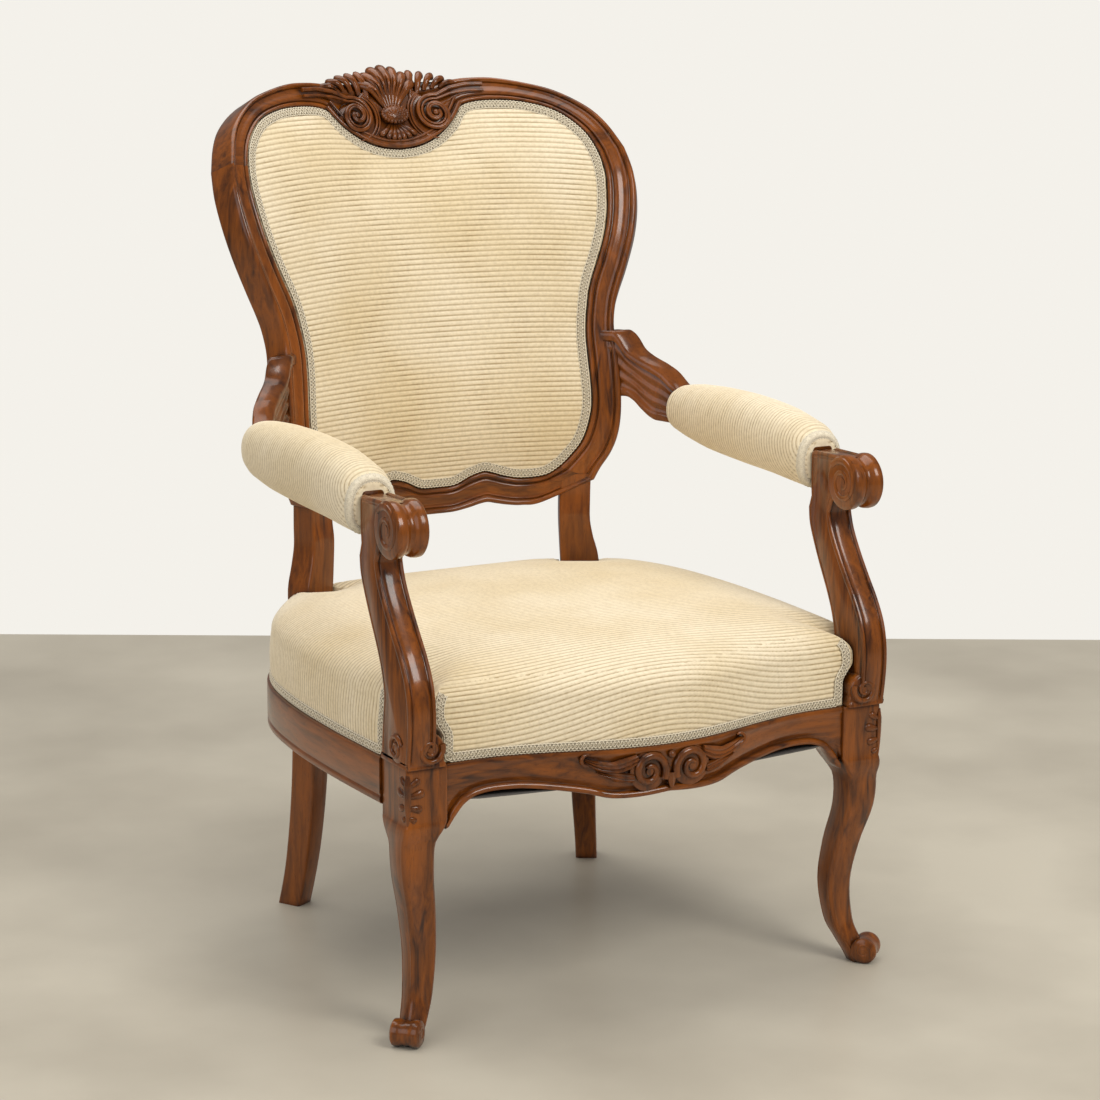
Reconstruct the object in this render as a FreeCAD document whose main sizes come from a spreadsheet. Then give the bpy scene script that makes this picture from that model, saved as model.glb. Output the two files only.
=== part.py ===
"""A carved open armchair: sprung seat, padded barrel back in a moulded frame, padded arms on scroll posts.

The frame is X across, to the right as one looks at the chair from its front, Y to the back, Z up, in
millimetres.
The origin lies on the floor under the middle of the chair. Right hand pieces (positive X) are made
first, and the left hand ones are their mirror images.
"""
import FreeCAD, Part
import math
import os
from types import SimpleNamespace

from FreeCAD import Placement, Rotation, Vector

os.makedirs("parts", exist_ok=True)
doc = FreeCAD.newDocument("armchair")
sheet = doc.addObject("Spreadsheet::Sheet", "Sizes")

# Driving sizes: alias, value in millimetres or degrees, meaning.
SIZES = (
    # Seat frame
    ("rail_top", 325, "height of the top of the seat rails"),
    ("side_rail_drop", 55, "height of the side and rear rails"),
    ("front_rail_drop", 56, "height of the front rail at its middle"),
    ("rail_thickness", 30, "thickness of the seat rails"),
    ("seat_half_width", 319, "middle of the seat to the outer face of a side rail"),
    ("front_corner_reach", 344.8, "origin forward to the front rail beside the legs"),
    ("front_bow", 45, "how far the front rail bows forward at its middle"),
    ("front_bow_half_width", 230, "half the width of that bow"),
    ("rear_rail_setback", 7, "front face of the rear rail behind the stile's inner front arris"),
    ("webbing_rebate", 15, "height of the rebate under the rails that takes the webbing"),
    ("webbing_rebate_width", 14, "width of that rebate"),
    ("tenon_length", 15, "length of a rail tenon"),
    ("tenon_thickness", 10, "thickness of a rail tenon"),
    ("tenon_height", 20, "height of a rail tenon"),
    ("joint_clearance", 0.2, "clearance round tenons, dowels and screws"),
    # Front legs
    ("leg_outer", 313, "middle of the chair to the outer face of a front leg block"),
    ("leg_width", 51, "width of the leg block"),
    ("leg_depth", 65, "depth of the leg block"),
    ("leg_block_drop", 63, "height of the leg block"),
    ("leg_taper_width", 44, "width of the leg at the knee"),
    ("leg_swing", 12, "how far the knee swings out and the ankle in, along the diagonal"),
    ("toe_radius", 16, "radius of the scroll toe"),
    ("toe_width", 34, "width of the scroll toe"),
    ("toe_reach", 30, "middle of the block out to the centre of the toe, along the diagonal"),
    # Back frame
    ("back_half_width", 276.5, "middle of the chair to the widest point of the back frame"),
    ("back_bottom", 482, "height of the lower edge of the back frame"),
    ("back_height", 544, "height of the back frame without its shell"),
    ("back_reach", 200.2, "origin back to the middle of the back frame, near its foot"),
    ("back_hollow", 99, "how far the sides of the back stand forward of its middle"),
    ("back_sweep", 156, "how far the crest leans back"),
    ("back_bend_drop", 78, "bottom of the frame up to where the back starts to lean"),
    ("frame_thickness", 36, "thickness of the back frame"),
    ("ledge_width", 12, "width of the tacking ledge inside the back frame"),
    ("ledge_front_step", 14, "front of the frame to the tacking ledge"),
    ("ledge_back_step", 6, "rear of the frame to the tacking ledge"),
    ("rear_leg_rake", 25, "how far the foot of the rear leg goes back"),
    ("rear_leg_depth", 35, "depth of the rear leg"),
    ("rear_leg_width", 50, "width of the stile at the seat, its widest"),
    # Shell cartouche
    ("shell_proud", 12, "how far the cartouche stands out of the crest rail"),
    ("shell_half_width", 88, "half the width of the cartouche"),
    ("shell_height", 101, "height of the cartouche"),
    ("shell_drop", 942, "height of the cartouche's lowest point"),
    ("shell_scroll_radius", 19, "radius of its two scrolls"),
    ("shell_boss_radius", 13, "radius of the boss in its middle"),
    ("shell_rear_inset", 4, "rear of the cartouche inside the rear of the crest rail"),
    # Arms and posts
    ("post_outer", 315, "middle of the chair to the outer face of an arm post"),
    ("post_width", 35, "width of an arm post"),
    ("post_height", 295, "height of an arm post above the rails"),
    ("post_depth", 67, "depth of an arm post at its base"),
    ("post_setback", 77, "how far the neck of the post lies behind its base"),
    ("post_head_setback", 118, "how far the rear of the post's head lies behind the front of its base"),
    ("post_reach", 352.8, "origin forward to the front of a post's base"),
    ("post_base_width", 49, "width of the post's base with its volutes"),
    ("post_base_height", 22, "height of the block under the volutes"),
    ("roll_radius", 33, "radius of the roll on top of the post"),
    ("roll_setback", 46, "centre of the roll behind the front of the post's base"),
    ("roll_proud", 2, "how far the roll stands out of each side of the post"),
    ("volute_radius", 19, "radius of the carved volutes at the base of the post"),
    ("volute_proud", 2, "how far the volutes stand out"),
    ("arm_run", 390, "post head back to the rear end of the arm"),
    ("arm_rear_offset", 245, "middle of the chair to the arm's rear end"),
    ("arm_level", 590, "height of the underside of the arm at the post"),
    ("arm_rise", 118, "rise from there to the tip of the arm's bracket"),
    ("arm_thickness", 27, "thickness of the arm"),
    ("pad_half_width", 36, "half the width of an arm pad"),
    ("pad_half_height", 45, "half the height of an arm pad"),
    ("pad_level", 612, "height of the middle of an arm pad"),
    # Cloth and stuffing
    ("cover_thickness", 2, "thickness of the cover cloth and its wadding"),
    ("gimp_thickness", 2, "thickness of the gimp"),
    ("gimp_width", 11, "width of the gimp"),
    ("hessian_thickness", 1.2, "thickness of the hessian"),
    ("strip_thickness", 1.8, "thickness of the webbing"),
    ("strip_width", 50, "width of a strip of webbing"),
    ("seat_strip_pitch", 105, "spacing of the seat webbing"),
    ("back_strip_pitch", 95, "spacing of the back webbing"),
    ("soft_clearance", 0.3, "clearance round soft pieces"),
    ("seat_crown_height", 113, "height of the seat above the rails at its middle"),
    ("seat_inset", 6, "edge of the seat cover inside the outer face of the rails"),
    ("seat_edge_wall", 46, "thickness of the stuffing round the springs"),
    ("spring_height", 104, "height of a seat spring"),
    ("spring_radius", 36, "radius of a seat spring at its ends"),
    ("spring_waist_radius", 25, "radius of a seat spring at its waist"),
    ("spring_wire", 3.6, "diameter of the spring wire"),
    ("spring_turns", 4, "turns of a seat spring"),
    ("back_crown", 15, "how far the padding of the back swells"),
    # Joinery and fasteners
    ("dowel_radius", 5, "radius of a dowel"),
    ("dowel_length", 44, "length of a dowel"),
    ("screw_radius", 2.2, "radius of a screw's shank"),
    ("screw_length", 42, "length of a screw"),
    ("screw_head_radius", 4.4, "radius of a screw's head"),
    ("screw_head_height", 2.6, "height of a screw's head"),
    ("peg_radius", 3, "radius of the pegs through the tenons"),
    ("peg_length", 30, "length of those pegs"),
    ("block_leg", 105, "length of a front corner block along each rail"),
    ("rear_block_leg", 110, "length of a rear corner block along the rear rail"),
    ("rear_block_reach", 86, "how far a rear corner block reaches forward"),
    ("rear_block_slant", 45, "how far it reaches out beyond its corner"),
    ("block_height", 34, "height of a corner block"),
    ("block_drop", 3, "top of a corner block below the top of the rails"),
    ("block_embed", 8, "how far the corner of a block lies inside the rails before it is fitted"),
    ("overrun", 40, "how far cutting shapes run past what they cut"),
)


def fill_sheet():
    """Write the driving sizes into the sheet and return them by name."""
    for row, (alias, value, meaning) in enumerate(SIZES, start=1):
        sheet.set(f"A{row}", meaning)
        sheet.set(f"B{row}", str(value))
        sheet.setAlias(f"B{row}", alias)
    doc.recompute()
    return SimpleNamespace(**{alias: float(sheet.get(alias)) for alias, _, _ in SIZES})


S = fill_sheet()

# Levels and places that follow from the driving sizes
BACK_TOP = S.back_bottom + S.back_height
BEND_LEVEL = S.back_bottom + S.back_bend_drop
SIDE_RAIL_BOTTOM = S.rail_top - S.side_rail_drop
FRONT_RAIL_BOTTOM = S.rail_top - S.front_rail_drop
WEBBING_LEVEL = SIDE_RAIL_BOTTOM + S.webbing_rebate
LEG_INNER = S.leg_outer - S.leg_width
LEG_X = S.leg_outer - S.leg_width / 2
LEG_FRONT = -S.front_corner_reach - (S.post_reach - S.front_corner_reach) / 2
LEG_Y = LEG_FRONT + S.leg_depth / 2
LEG_REAR = LEG_FRONT + S.leg_depth
POST_INNER = S.post_outer - S.post_width
POST_X = S.post_outer - S.post_width / 2
HEAD_REAR = -S.post_reach + S.post_head_setback
POST_TOP = S.rail_top + S.post_height

# Outline of the back frame: x of the inner edge, height of the inner edge, x and height of the outer
# edge, as shares of the back's half width and height
STILE_SHARES = (
    (0.575, 0.099, 0.723, 0.066),
    (0.626, 0.127, 0.748, 0.094),
    (0.673, 0.162, 0.788, 0.130),
    (0.703, 0.210, 0.816, 0.171),
    (0.716, 0.257, 0.831, 0.222),
    (0.714, 0.309, 0.835, 0.290),
    (0.709, 0.364, 0.832, 0.364),
    (0.710, 0.423, 0.825, 0.428),
    (0.730, 0.489, 0.838, 0.478),
    (0.756, 0.539, 0.861, 0.517),
    (0.810, 0.605, 0.904, 0.575),
    (0.854, 0.671, 0.955, 0.651),
    (0.882, 0.741, 0.987, 0.721),
    (0.891, 0.790, 1.000, 0.787),
    (0.882, 0.833, 0.988, 0.844),
)
CREST_SHARES = (
    (0.882, 0.833, 0.988, 0.844),
    (0.850, 0.875, 0.944, 0.897),
    (0.789, 0.910, 0.882, 0.936),
    (0.716, 0.932, 0.770, 0.971),
    (0.615, 0.945, 0.647, 0.989),
    (0.524, 0.949, 0.517, 1.000),
    (0.416, 0.947, 0.405, 1.000),
    (0.333, 0.934, 0.326, 0.996),
    (0.271, 0.897, 0.268, 0.993),
    (0.181, 0.864, 0.181, 0.993),
    (0.090, 0.847, 0.090, 0.993),
    (0.000, 0.842, 0.000, 0.993),
)
BOTTOM_SHARES = (
    (0.000, 0.064, 0.000, 0.000),
    (0.087, 0.066, 0.087, 0.001),
    (0.159, 0.083, 0.163, 0.008),
    (0.206, 0.091, 0.214, 0.015),
    (0.237, 0.094, 0.253, 0.018),
    (0.275, 0.089, 0.293, 0.014),
    (0.331, 0.080, 0.350, 0.009),
    (0.405, 0.074, 0.412, 0.007),
    (0.510, 0.079, 0.503, 0.013),
    (0.575, 0.092, 0.575, 0.015),
    (0.660, 0.100, 0.660, 0.017),
)
# Rear leg and foot of the stile: height as a share of the back frame's foot, x of the outer front
# arris as a share of the back's half width, width and depth as shares, degrees that its face turns in
REAR_LEG_SHARES = (
    (0.000, 0.785, 0.56, 0.94, 30),
    (0.085, 0.766, 0.58, 0.94, 30),
    (0.170, 0.752, 0.62, 0.96, 30),
    (0.300, 0.736, 0.66, 0.98, 30),
    (0.430, 0.727, 0.70, 0.99, 30),
    (0.560, 0.723, 0.74, 1.00, 30),
    (0.675, 0.725, 0.80, 1.00, 30),
    (0.770, 0.738, 0.92, 1.02, 28),
    (0.853, 0.745, 1.00, 1.03, 27),
    (0.915, 0.722, 0.88, 1.03, 26),
    (0.965, 0.7075, 0.80, 1.03, 25),
    (1.018, 0.7075, 0.80, 1.03, 25),
)
# Rows put between the rows of a table, points on each side of a patch of the back, points on one turn of
# a spring, and how far a patch runs past the back as a share of the overrun
ROWS_BETWEEN = 1
PATCH_COUNT = 9
COIL_STEPS = 12
PATCH_OVERRUN_SHARE = 0.25
# Post in side view: height, setback of the front edge, depth, as shares of its own sizes
POST_SHARES = (
    (0.000, 0.00, 1.00),
    (0.085, -0.05, 1.035),
    (0.170, -0.08, 1.03),
    (0.254, -0.06, 0.97),
    (0.339, 0.03, 0.96),
    (0.424, 0.22, 0.92),
    (0.508, 0.47, 0.85),
    (0.593, 0.71, 0.78),
    (0.678, 0.91, 0.72),
    (0.746, 1.00, 0.66),
)
# Level of the rear lower edge of the post's head and drop of its top as shares of the post's height, top
# of its lip as a share of the roll, places of the volutes as shares of their radius and the post's depth
POST_HEAD_SHARE = 0.80
HEAD_DROP_SHARE = 0.02
ROLL_LIP_SHARE = 0.85
VOLUTE_INSET_SHARE = 1.06
SIDE_VOLUTE_SHARE = 0.62
# Arm: place along its run, sideways place from the post to its rear end, underside, top and thickness,
# as shares
ARM_SHARES = (
    (0.000, 0.00, 0.00, 0.23, 1.00),
    (0.150, 0.00, 0.03, 0.26, 1.00),
    (0.300, 0.00, 0.06, 0.28, 1.00),
    (0.450, 0.00, 0.07, 0.29, 1.00),
    (0.600, 0.00, 0.07, 0.30, 1.00),
    (0.720, 0.00, 0.06, 0.34, 1.00),
    (0.780, 0.04, 0.05, 0.40, 1.02),
    (0.820, 0.13, 0.05, 0.48, 1.06),
    (0.855, 0.28, 0.06, 0.60, 1.12),
    (0.880, 0.44, 0.08, 0.67, 1.16),
    (0.905, 0.60, 0.17, 0.72, 1.20),
    (0.925, 0.74, 0.26, 0.77, 1.20),
    (0.945, 0.88, 0.31, 0.84, 1.20),
    (0.965, 1.00, 0.31, 0.96, 1.20),
    (0.980, 1.10, 0.30, 1.02, 1.20),
    (1.000, 1.23, 0.29, 1.02, 1.20),
)
BRACKET_START_ROW = 9
# Arm pad: place along the arm's run, half width, half height and drop of its middle, as shares
PAD_SHARES = (
    (0.001, 0.84, 0.78, 0.32),
    (0.060, 0.94, 0.90, 0.20),
    (0.210, 1.00, 0.98, 0.06),
    (0.400, 1.03, 1.00, 0.00),
    (0.590, 1.02, 0.94, -0.02),
    (0.720, 0.95, 0.82, -0.05),
    (0.790, 0.84, 0.69, -0.08),
    (0.826, 0.62, 0.50, -0.10),
)
PAD_RING_SHARES = (
    (0.001, 0.84, 0.78, 0.32),
    (0.028, 0.89, 0.84, 0.26),
    (0.762, 0.90, 0.75, -0.07),
    (0.790, 0.84, 0.69, -0.08),
)
# Side rail in plan: x as a share of the seat's half width, place from the leg to the stile as a share
SIDE_SHARES = (
    (0.985, -0.07),
    (0.995, 0.10),
    (1.000, 0.28),
    (0.990, 0.50),
    (0.953, 0.70),
    (0.890, 0.83),
    (0.803, 0.93),
    (0.715, 1.01),
)
# Lower edge of the front rail: x as a share of the leg's inner face, height above the rail's bottom
# at its middle as a share of the rail's height
APRON_SHARES = (
    (0.00, 0.00),
    (0.15, -0.05),
    (0.27, -0.03),
    (0.38, 0.10),
    (0.53, 0.22),
    (0.67, 0.29),
    (0.82, 0.27),
    (0.90, 0.14),
    (0.95, -0.10),
    (0.99, -0.36),
)
# Front leg under its block: height as a share of the block's underside, swing outwards as a share of
# the leg's swing, width as a share of the knee
LEG_SHARES = (
    (0.90, 0.85, 1.00),
    (0.75, 0.80, 0.93),
    (0.57, -0.30, 0.84),
    (0.38, -0.95, 0.75),
    (0.20, -0.45, 0.67),
    (0.11, 0.50, 0.61),
    (0.05, 1.20, 0.54),
    (0.00, 1.60, 0.45),
)
LEG_CORNER_SHARE = 0.22
# Front rail's scrolls: radius, spacing, how far they stand out and length of the tail as shares of the
# rail's height, then start and end radii and place of the tail as shares of the scroll's radius
SCROLL_SHARES = (0.36, 0.486, 0.12, 1.25)
TAIL_SHARES = (0.45, 0.16, 0.50, 0.55)
# Thickness of the rear rail as a share of the others, spacing of the webbing from front to back as a
# share of the other, inset of the dust cover as a share of the rails' thickness
REAR_RAIL_SHARE = 0.9
LENGTHWISE_PITCH_SHARE = 1.1
DUST_INSET_SHARE = 0.75
# Levels of the tenons under the top of the front rail and from the edges of the side rails, as shares
FRONT_TENON_SHARE = 0.38
SIDE_TENON_SHARE = 0.27
# Seat cushion: height above the rails as a share of the crown, inset as a share of the half width
CUSHION_SHARES = (
    (0.000, 0.000),
    (0.110, 0.000),
    (0.24, -0.008),
    (0.42, -0.008),
    (0.60, 0.016),
    (0.75, 0.070),
    (0.86, 0.170),
    (0.94, 0.330),
    (0.985, 0.580),
    (1.00, 0.850),
)
# Swelling of the back: height of its middle and half its height as shares of the back, and how far it
# sinks beyond the frame's edge as a share of the crown
CROWN_LEVEL_SHARE = 0.50
CROWN_REACH_SHARE = 0.46
SINK_SHARE = -0.6
DENT_LEVEL_SHARE = 0.2
# Clearances taken at the edge of the back's layers, and how much of its thickness a layer fills
EDGE_CLEARANCES = 3
FOOT_END_SHARE = 0.56
SLACK_SHARE = 0.8
# Screws of the corner blocks: place along the front rail, the side rail and the rear rail as shares
FRONT_SCREW_SHARES = (0.66, 0.70)
REAR_SCREW_SHARES = (0.45, 0.48)
# Dowels: spread over the frame's thickness, level of the bottom rail's dowels on the back, places along
# the post's base, and levels at the front and the rear of the arm
DOWEL_SPREAD_SHARE = 0.24
DOWEL_LEVEL_SHARE = 0.054
POST_DOWEL_SHARES = (0.28, 0.70)
ARM_DOWEL_SHARE = 0.11
BRACKET_DOWEL_SHARES = (0.50, 0.80)
REAR_TENON_SHARE = 0.6
QUARTER_TURN = 90
# Shell: x and height of its lower outline as shares, level of its middle and of its scrolls, place of a
# scroll's eye, reach of the notches between the flutes, then the angle from upright and the reach of each
# flute's tip as a share of the shell's height
SHELL_FOOT_SHARES = ((0.0, 0.0), (0.40, 0.07), (0.78, 0.26), (1.0, 0.53))
SHELL_FOCUS_SHARE = 0.42
SHELL_EYE_SHARES = (0.62, 0.36)
NOTCH_SHARE = 0.86
FLUTE_SHARES = ((-78, 0.66), (-52, 0.60), (-26, 0.58), (0, 0.58), (26, 0.58), (52, 0.60), (78, 0.66))


# Curves and solids shared by several pieces
def spline(points):
    """A smooth edge through the points."""
    curve = Part.BSplineCurve()
    curve.interpolate(points)
    return curve.toShape()


def band_wire(first, second):
    """The outline of a band between two smooth lines that run side by side."""
    far_end = Part.LineSegment(first[-1], second[-1]).toShape()
    near_end = Part.LineSegment(second[0], first[0]).toShape()
    return Part.Wire([spline(first), far_end, spline(second[::-1]), near_end])


def closed_polygon(points):
    return Part.makePolygon(list(points) + [points[0]])


def loft(wires, smooth=False):
    """A solid through the sections, ruled from one to the next unless it has to be smooth."""
    return Part.makeLoft(wires, True, not smooth)


def between(before, start, end, after, part):
    """A value on the smooth curve through four values, between the middle two."""
    first = (end - before) / 2
    last = (after - start) / 2
    rise = end - start
    bend = 3 * rise - 2 * first - last
    twist = first + last - 2 * rise
    return start + part * (first + part * (bend + part * twist))


def refined(rows):
    """A table of shares with smooth rows put between its rows."""
    result = []
    for index in range(len(rows) - 1):
        near = [rows[max(index - 1, 0)], rows[index], rows[index + 1], rows[min(index + 2, len(rows) - 1)]]
        for step in range(ROWS_BETWEEN + 1):
            part = step / (ROWS_BETWEEN + 1)
            result.append(tuple(between(*values, part) for values in zip(*near)))
    result.append(rows[-1])
    return result


def prism(wire, direction):
    return Part.Face(wire).extrude(direction)


def box_between(low, high):
    return Part.makeBox(high.x - low.x, high.y - low.y, high.z - low.z, low)


def half_space(point, outward):
    """A large block on the far side of the plane through the point."""
    reach = 2 * BACK_TOP
    block = Part.makeBox(2 * reach, 2 * reach, reach, Vector(-reach, -reach, 0))
    block.Placement = Placement(point, Rotation(Vector(0, 0, 1), outward))
    return block


def rod(centre, axis, radius, length):
    """A cylinder whose middle is at the centre."""
    return Part.makeCylinder(radius, length, centre - axis * (length / 2), axis)


def mirrored_points(points):
    """Points of the right half, from the middle outwards, with their mirror images before them."""
    left = [Vector(-p.x, p.y, p.z) for p in reversed(points) if p.x > 0]
    return left + list(points)


def mirror_shape(shape):
    return shape.mirror(Vector(0, 0, 0), Vector(1, 0, 0))


def both_sides(shapes):
    """Shapes of the right half with their mirror images."""
    return list(shapes) + [mirror_shape(shape) for shape in shapes]


def single_solid(shape):
    """The largest solid of a cut shape, without the crumbs that a cut can leave."""
    return max(shape.Solids, key=lambda solid: solid.Volume)


# The hollow, leaning surface that the front of the back frame follows
def back_lean(z):
    return max(0.0, z - BEND_LEVEL) / (BACK_TOP - BEND_LEVEL)


def back_point(x, z):
    y = S.back_reach + S.back_sweep * back_lean(z) ** 2 - S.back_hollow * (x / S.back_half_width) ** 2
    return Vector(x, y, z)


def back_normal(x, z):
    """The direction out of the rear of the back."""
    slope = 2 * S.back_sweep * back_lean(z) / (BACK_TOP - BEND_LEVEL)
    return Vector(2 * S.back_hollow * x / S.back_half_width ** 2, 1, -slope).normalize()


def frame_place(x_share, height_share):
    return x_share * S.back_half_width, S.back_bottom + height_share * S.back_height


def frame_section(shares, ledge=True):
    """A section of the back frame: its face, its sides and the tacking ledge inside it."""
    inner_x, inner_z = frame_place(shares[0], shares[1])
    outer_x, outer_z = frame_place(shares[2], shares[3])
    inner = back_point(inner_x, inner_z)
    outer = back_point(outer_x, outer_z)
    rearward = back_normal((inner_x + outer_x) / 2, (inner_z + outer_z) / 2)
    inward = (inner - outer).normalize()
    points = [inner, outer, outer + rearward * S.frame_thickness, inner + rearward * S.frame_thickness]
    if ledge:
        back_step = rearward * (S.frame_thickness - S.ledge_back_step)
        front_step = rearward * S.ledge_front_step
        reach = inward * S.ledge_width
        ledge_rear = inner + back_step
        ledge_front = inner + front_step
        points += [ledge_rear, ledge_rear + reach, ledge_front + reach, ledge_front]
    return closed_polygon(points)


def mirror_shares(rows):
    """Sections of a rail that runs across the middle, from left to right."""
    left = [(-a, b, -c, d) for a, b, c, d in reversed(rows) if a > 0]
    return left + list(rows)


# Rear stile: back leg, stile and side of the back frame in one piece
def leg_rake(z):
    return S.rear_leg_rake * max(0.0, 1 - z / SIDE_RAIL_BOTTOM) ** 3


def rear_leg_section(shares, grow=0.0):
    height_share, x_share, width_share, depth_share, turn = shares
    z = height_share * S.back_bottom
    x = x_share * S.back_half_width
    inward = Vector(-math.cos(math.radians(turn)), math.sin(math.radians(turn)), 0)
    rearward = Vector(math.sin(math.radians(turn)), math.cos(math.radians(turn)), 0)
    arris = Vector(x, back_point(x, z).y + leg_rake(z), z) - (inward + rearward) * grow
    width = inward * (width_share * S.rear_leg_width + 2 * grow)
    depth = rearward * (depth_share * S.rear_leg_depth + 2 * grow)
    return closed_polygon([arris + width, arris, arris + depth, arris + width + depth])


def rear_stile():
    upper = loft([frame_section(row) for row in refined(STILE_SHARES)])
    return stile_foot().fuse(upper)


def stile_keep_out():
    """The space that soft pieces leave round the stile at the seat."""
    sections = [rear_leg_section(row, S.soft_clearance) for row in refined(REAR_LEG_SHARES)]
    return loft(sections + [frame_section(STILE_SHARES[0], False)])


# Back frame rails
def bottom_joint():
    """The stile's inner face at the bottom rail: a point, its outward and its upward direction."""
    inner_x, inner_z = frame_place(*STILE_SHARES[0][:2])
    outer_x, outer_z = frame_place(*STILE_SHARES[0][2:])
    rearward = back_normal((inner_x + outer_x) / 2, (inner_z + outer_z) / 2)
    outward = Vector(rearward.y, -rearward.x, 0).normalize()
    across = (back_point(inner_x, inner_z) - back_point(outer_x, outer_z)).normalize()
    upward = across.cross(rearward)
    if upward.z < 0:
        upward = -upward
    return back_point(inner_x, inner_z), outward, upward


def back_bottom_rail():
    rail = loft([frame_section(row) for row in refined(mirror_shares(BOTTOM_SHARES))])
    point, outward, upward = bottom_joint()
    cutters = [half_space(point - outward * (2 * S.joint_clearance), outward)]
    cutters.append(half_space(point - upward * S.joint_clearance, upward))
    return single_solid(rail.cut(both_sides(cutters)))


def shell_outline():
    """The scalloped outline of the cartouche, in x and height, clockwise from its lowest point."""
    right = []
    for x_share, height_share in SHELL_FOOT_SHARES:
        right.append(Vector(x_share * S.shell_half_width, 0, S.shell_drop + height_share * S.shell_height))
    left = [Vector(-p.x, 0, p.z) for p in right[1:]]
    focus = Vector(0, 0, S.shell_drop + S.shell_height * SHELL_FOCUS_SHARE)
    tips = []
    for index, (angle, reach_share) in enumerate(FLUTE_SHARES):
        tips.append(focus + upright_way(angle) * (reach_share * S.shell_height))
        if index < len(FLUTE_SHARES) - 1:
            half = (angle + FLUTE_SHARES[index + 1][0]) / 2
            tips.append(focus + upright_way(half) * (reach_share * NOTCH_SHARE * S.shell_height))
    return right[:1] + left + tips + right[:0:-1]


def upright_way(angle):
    """The direction in the picture of the back at an angle from straight up."""
    turn = math.radians(angle)
    return Vector(math.sin(turn), 0, math.cos(turn))


def shell_cartouche():
    """The plate of the cartouche with its two scrolls and the boss between them."""
    middle_level = S.shell_drop + S.shell_height / 2
    rearward = back_normal(0, middle_level)
    outline = []
    for p in shell_outline():
        outline.append(back_point(p.x, p.z) - rearward * S.shell_proud)
    flat = Part.makeFilledFace(closed_polygon(outline).Edges)
    depth = S.shell_proud + S.frame_thickness - S.shell_rear_inset
    shell = flat.extrude(rearward * depth)
    eye_share, level_share = SHELL_EYE_SHARES
    scroll_level = S.shell_drop + S.shell_height * level_share
    for side in (-1, 1):
        eye = back_point(side * S.shell_half_width * eye_share, scroll_level) - rearward * S.shell_proud
        shell = shell.fuse(rod(eye, rearward, S.shell_scroll_radius, S.shell_proud))
    boss = back_point(0, S.shell_drop + S.shell_height * SHELL_FOCUS_SHARE) - rearward * S.shell_proud
    return shell.fuse(Part.makeSphere(S.shell_boss_radius, boss))


def crest_rail():
    rail = loft([frame_section(row) for row in refined(mirror_shares(CREST_SHARES[::-1]))])
    return rail.fuse(shell_cartouche())


# Seat frame
def front_line(x):
    """The front rail's face in plan."""
    bow = 0.0
    if abs(x) < S.front_bow_half_width:
        bow = S.front_bow * (1 + math.cos(math.pi * x / S.front_bow_half_width)) / 2
    return -S.front_corner_reach - bow


def leg_block():
    low = Vector(LEG_INNER, LEG_FRONT, S.rail_top - S.leg_block_drop)
    return box_between(low, Vector(S.leg_outer, LEG_REAR, S.rail_top))


def rounded_square(centre, width, depth):
    """A rectangle with round corners, from lines and quarter circles."""
    radius = LEG_CORNER_SHARE * width
    edges = []
    turns = ((1, 1), (-1, 1), (-1, -1), (1, -1))
    corners = [centre + Vector(sx * (width / 2 - radius), sy * (depth / 2 - radius), 0) for sx, sy in turns]
    up = Vector(0, 0, 1)
    for index, corner in enumerate(corners):
        start = math.degrees(index * math.pi / 2)
        arc = Part.makeCircle(radius, corner, up, start, start + math.degrees(math.pi / 2))
        following = corners[(index + 1) % len(corners)]
        out = Vector(math.cos(math.radians(start + 90)), math.sin(math.radians(start + 90)), 0) * radius
        edges += [arc, Part.LineSegment(corner + out, following + out).toShape()]
    return Part.Wire(edges)


def front_leg():
    """Cabriole leg: block, knee and ankle on the diagonal, scroll toe."""
    outward = Vector(1, -1, 0).normalize()
    block_bottom = S.rail_top - S.leg_block_drop
    centre = Vector(LEG_X, LEG_Y, 0)
    wires = [rounded_square(centre + Vector(0, 0, block_bottom), S.leg_width, S.leg_depth)]
    for height_share, swing_share, width_share in LEG_SHARES:
        place = centre + outward * (swing_share * S.leg_swing) + Vector(0, 0, height_share * block_bottom)
        width = width_share * S.leg_taper_width
        wires.append(rounded_square(place, width, width))
    toe_centre = centre + outward * S.toe_reach + Vector(0, 0, S.toe_radius)
    toe = rod(toe_centre, Vector(1, 1, 0).normalize(), S.toe_radius, S.toe_width)
    return leg_block().fuse([loft(wires, True), toe]).removeSplitter()


def front_rail_blank():
    """The serpentine rail between the legs, with its arched lower edge."""
    half = LEG_INNER
    steps = len(APRON_SHARES) * 2
    front = []
    rear = []
    for index in range(-steps, steps + 1):
        x = half * index / steps
        front.append(Vector(x, front_line(x), 0))
        rear.append(Vector(x, front_line(x) + S.rail_thickness, 0))
    band = prism(band_wire(front, rear), Vector(0, 0, S.rail_top))
    return band.common(apron_prism())


def apron_prism():
    lower = []
    for x_share, height_share in APRON_SHARES:
        lower.append(Vector(x_share * LEG_INNER, 0, FRONT_RAIL_BOTTOM + height_share * S.front_rail_drop))
    last = lower[-1]
    lower.append(Vector(LEG_INNER + S.overrun, 0, last.z))
    curve = spline(mirrored_points(lower[:-1]))
    right = [last, lower[-1], Vector(LEG_INNER + S.overrun, 0, S.rail_top)]
    left = [Vector(-p.x, 0, p.z) for p in reversed(right)]
    frame = Part.makePolygon(right + left)
    reach = S.front_corner_reach + S.front_bow + S.overrun
    wire = Part.Wire([curve, frame])
    wire.translate(Vector(0, -reach, 0))
    return prism(wire, Vector(0, reach, 0))


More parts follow.
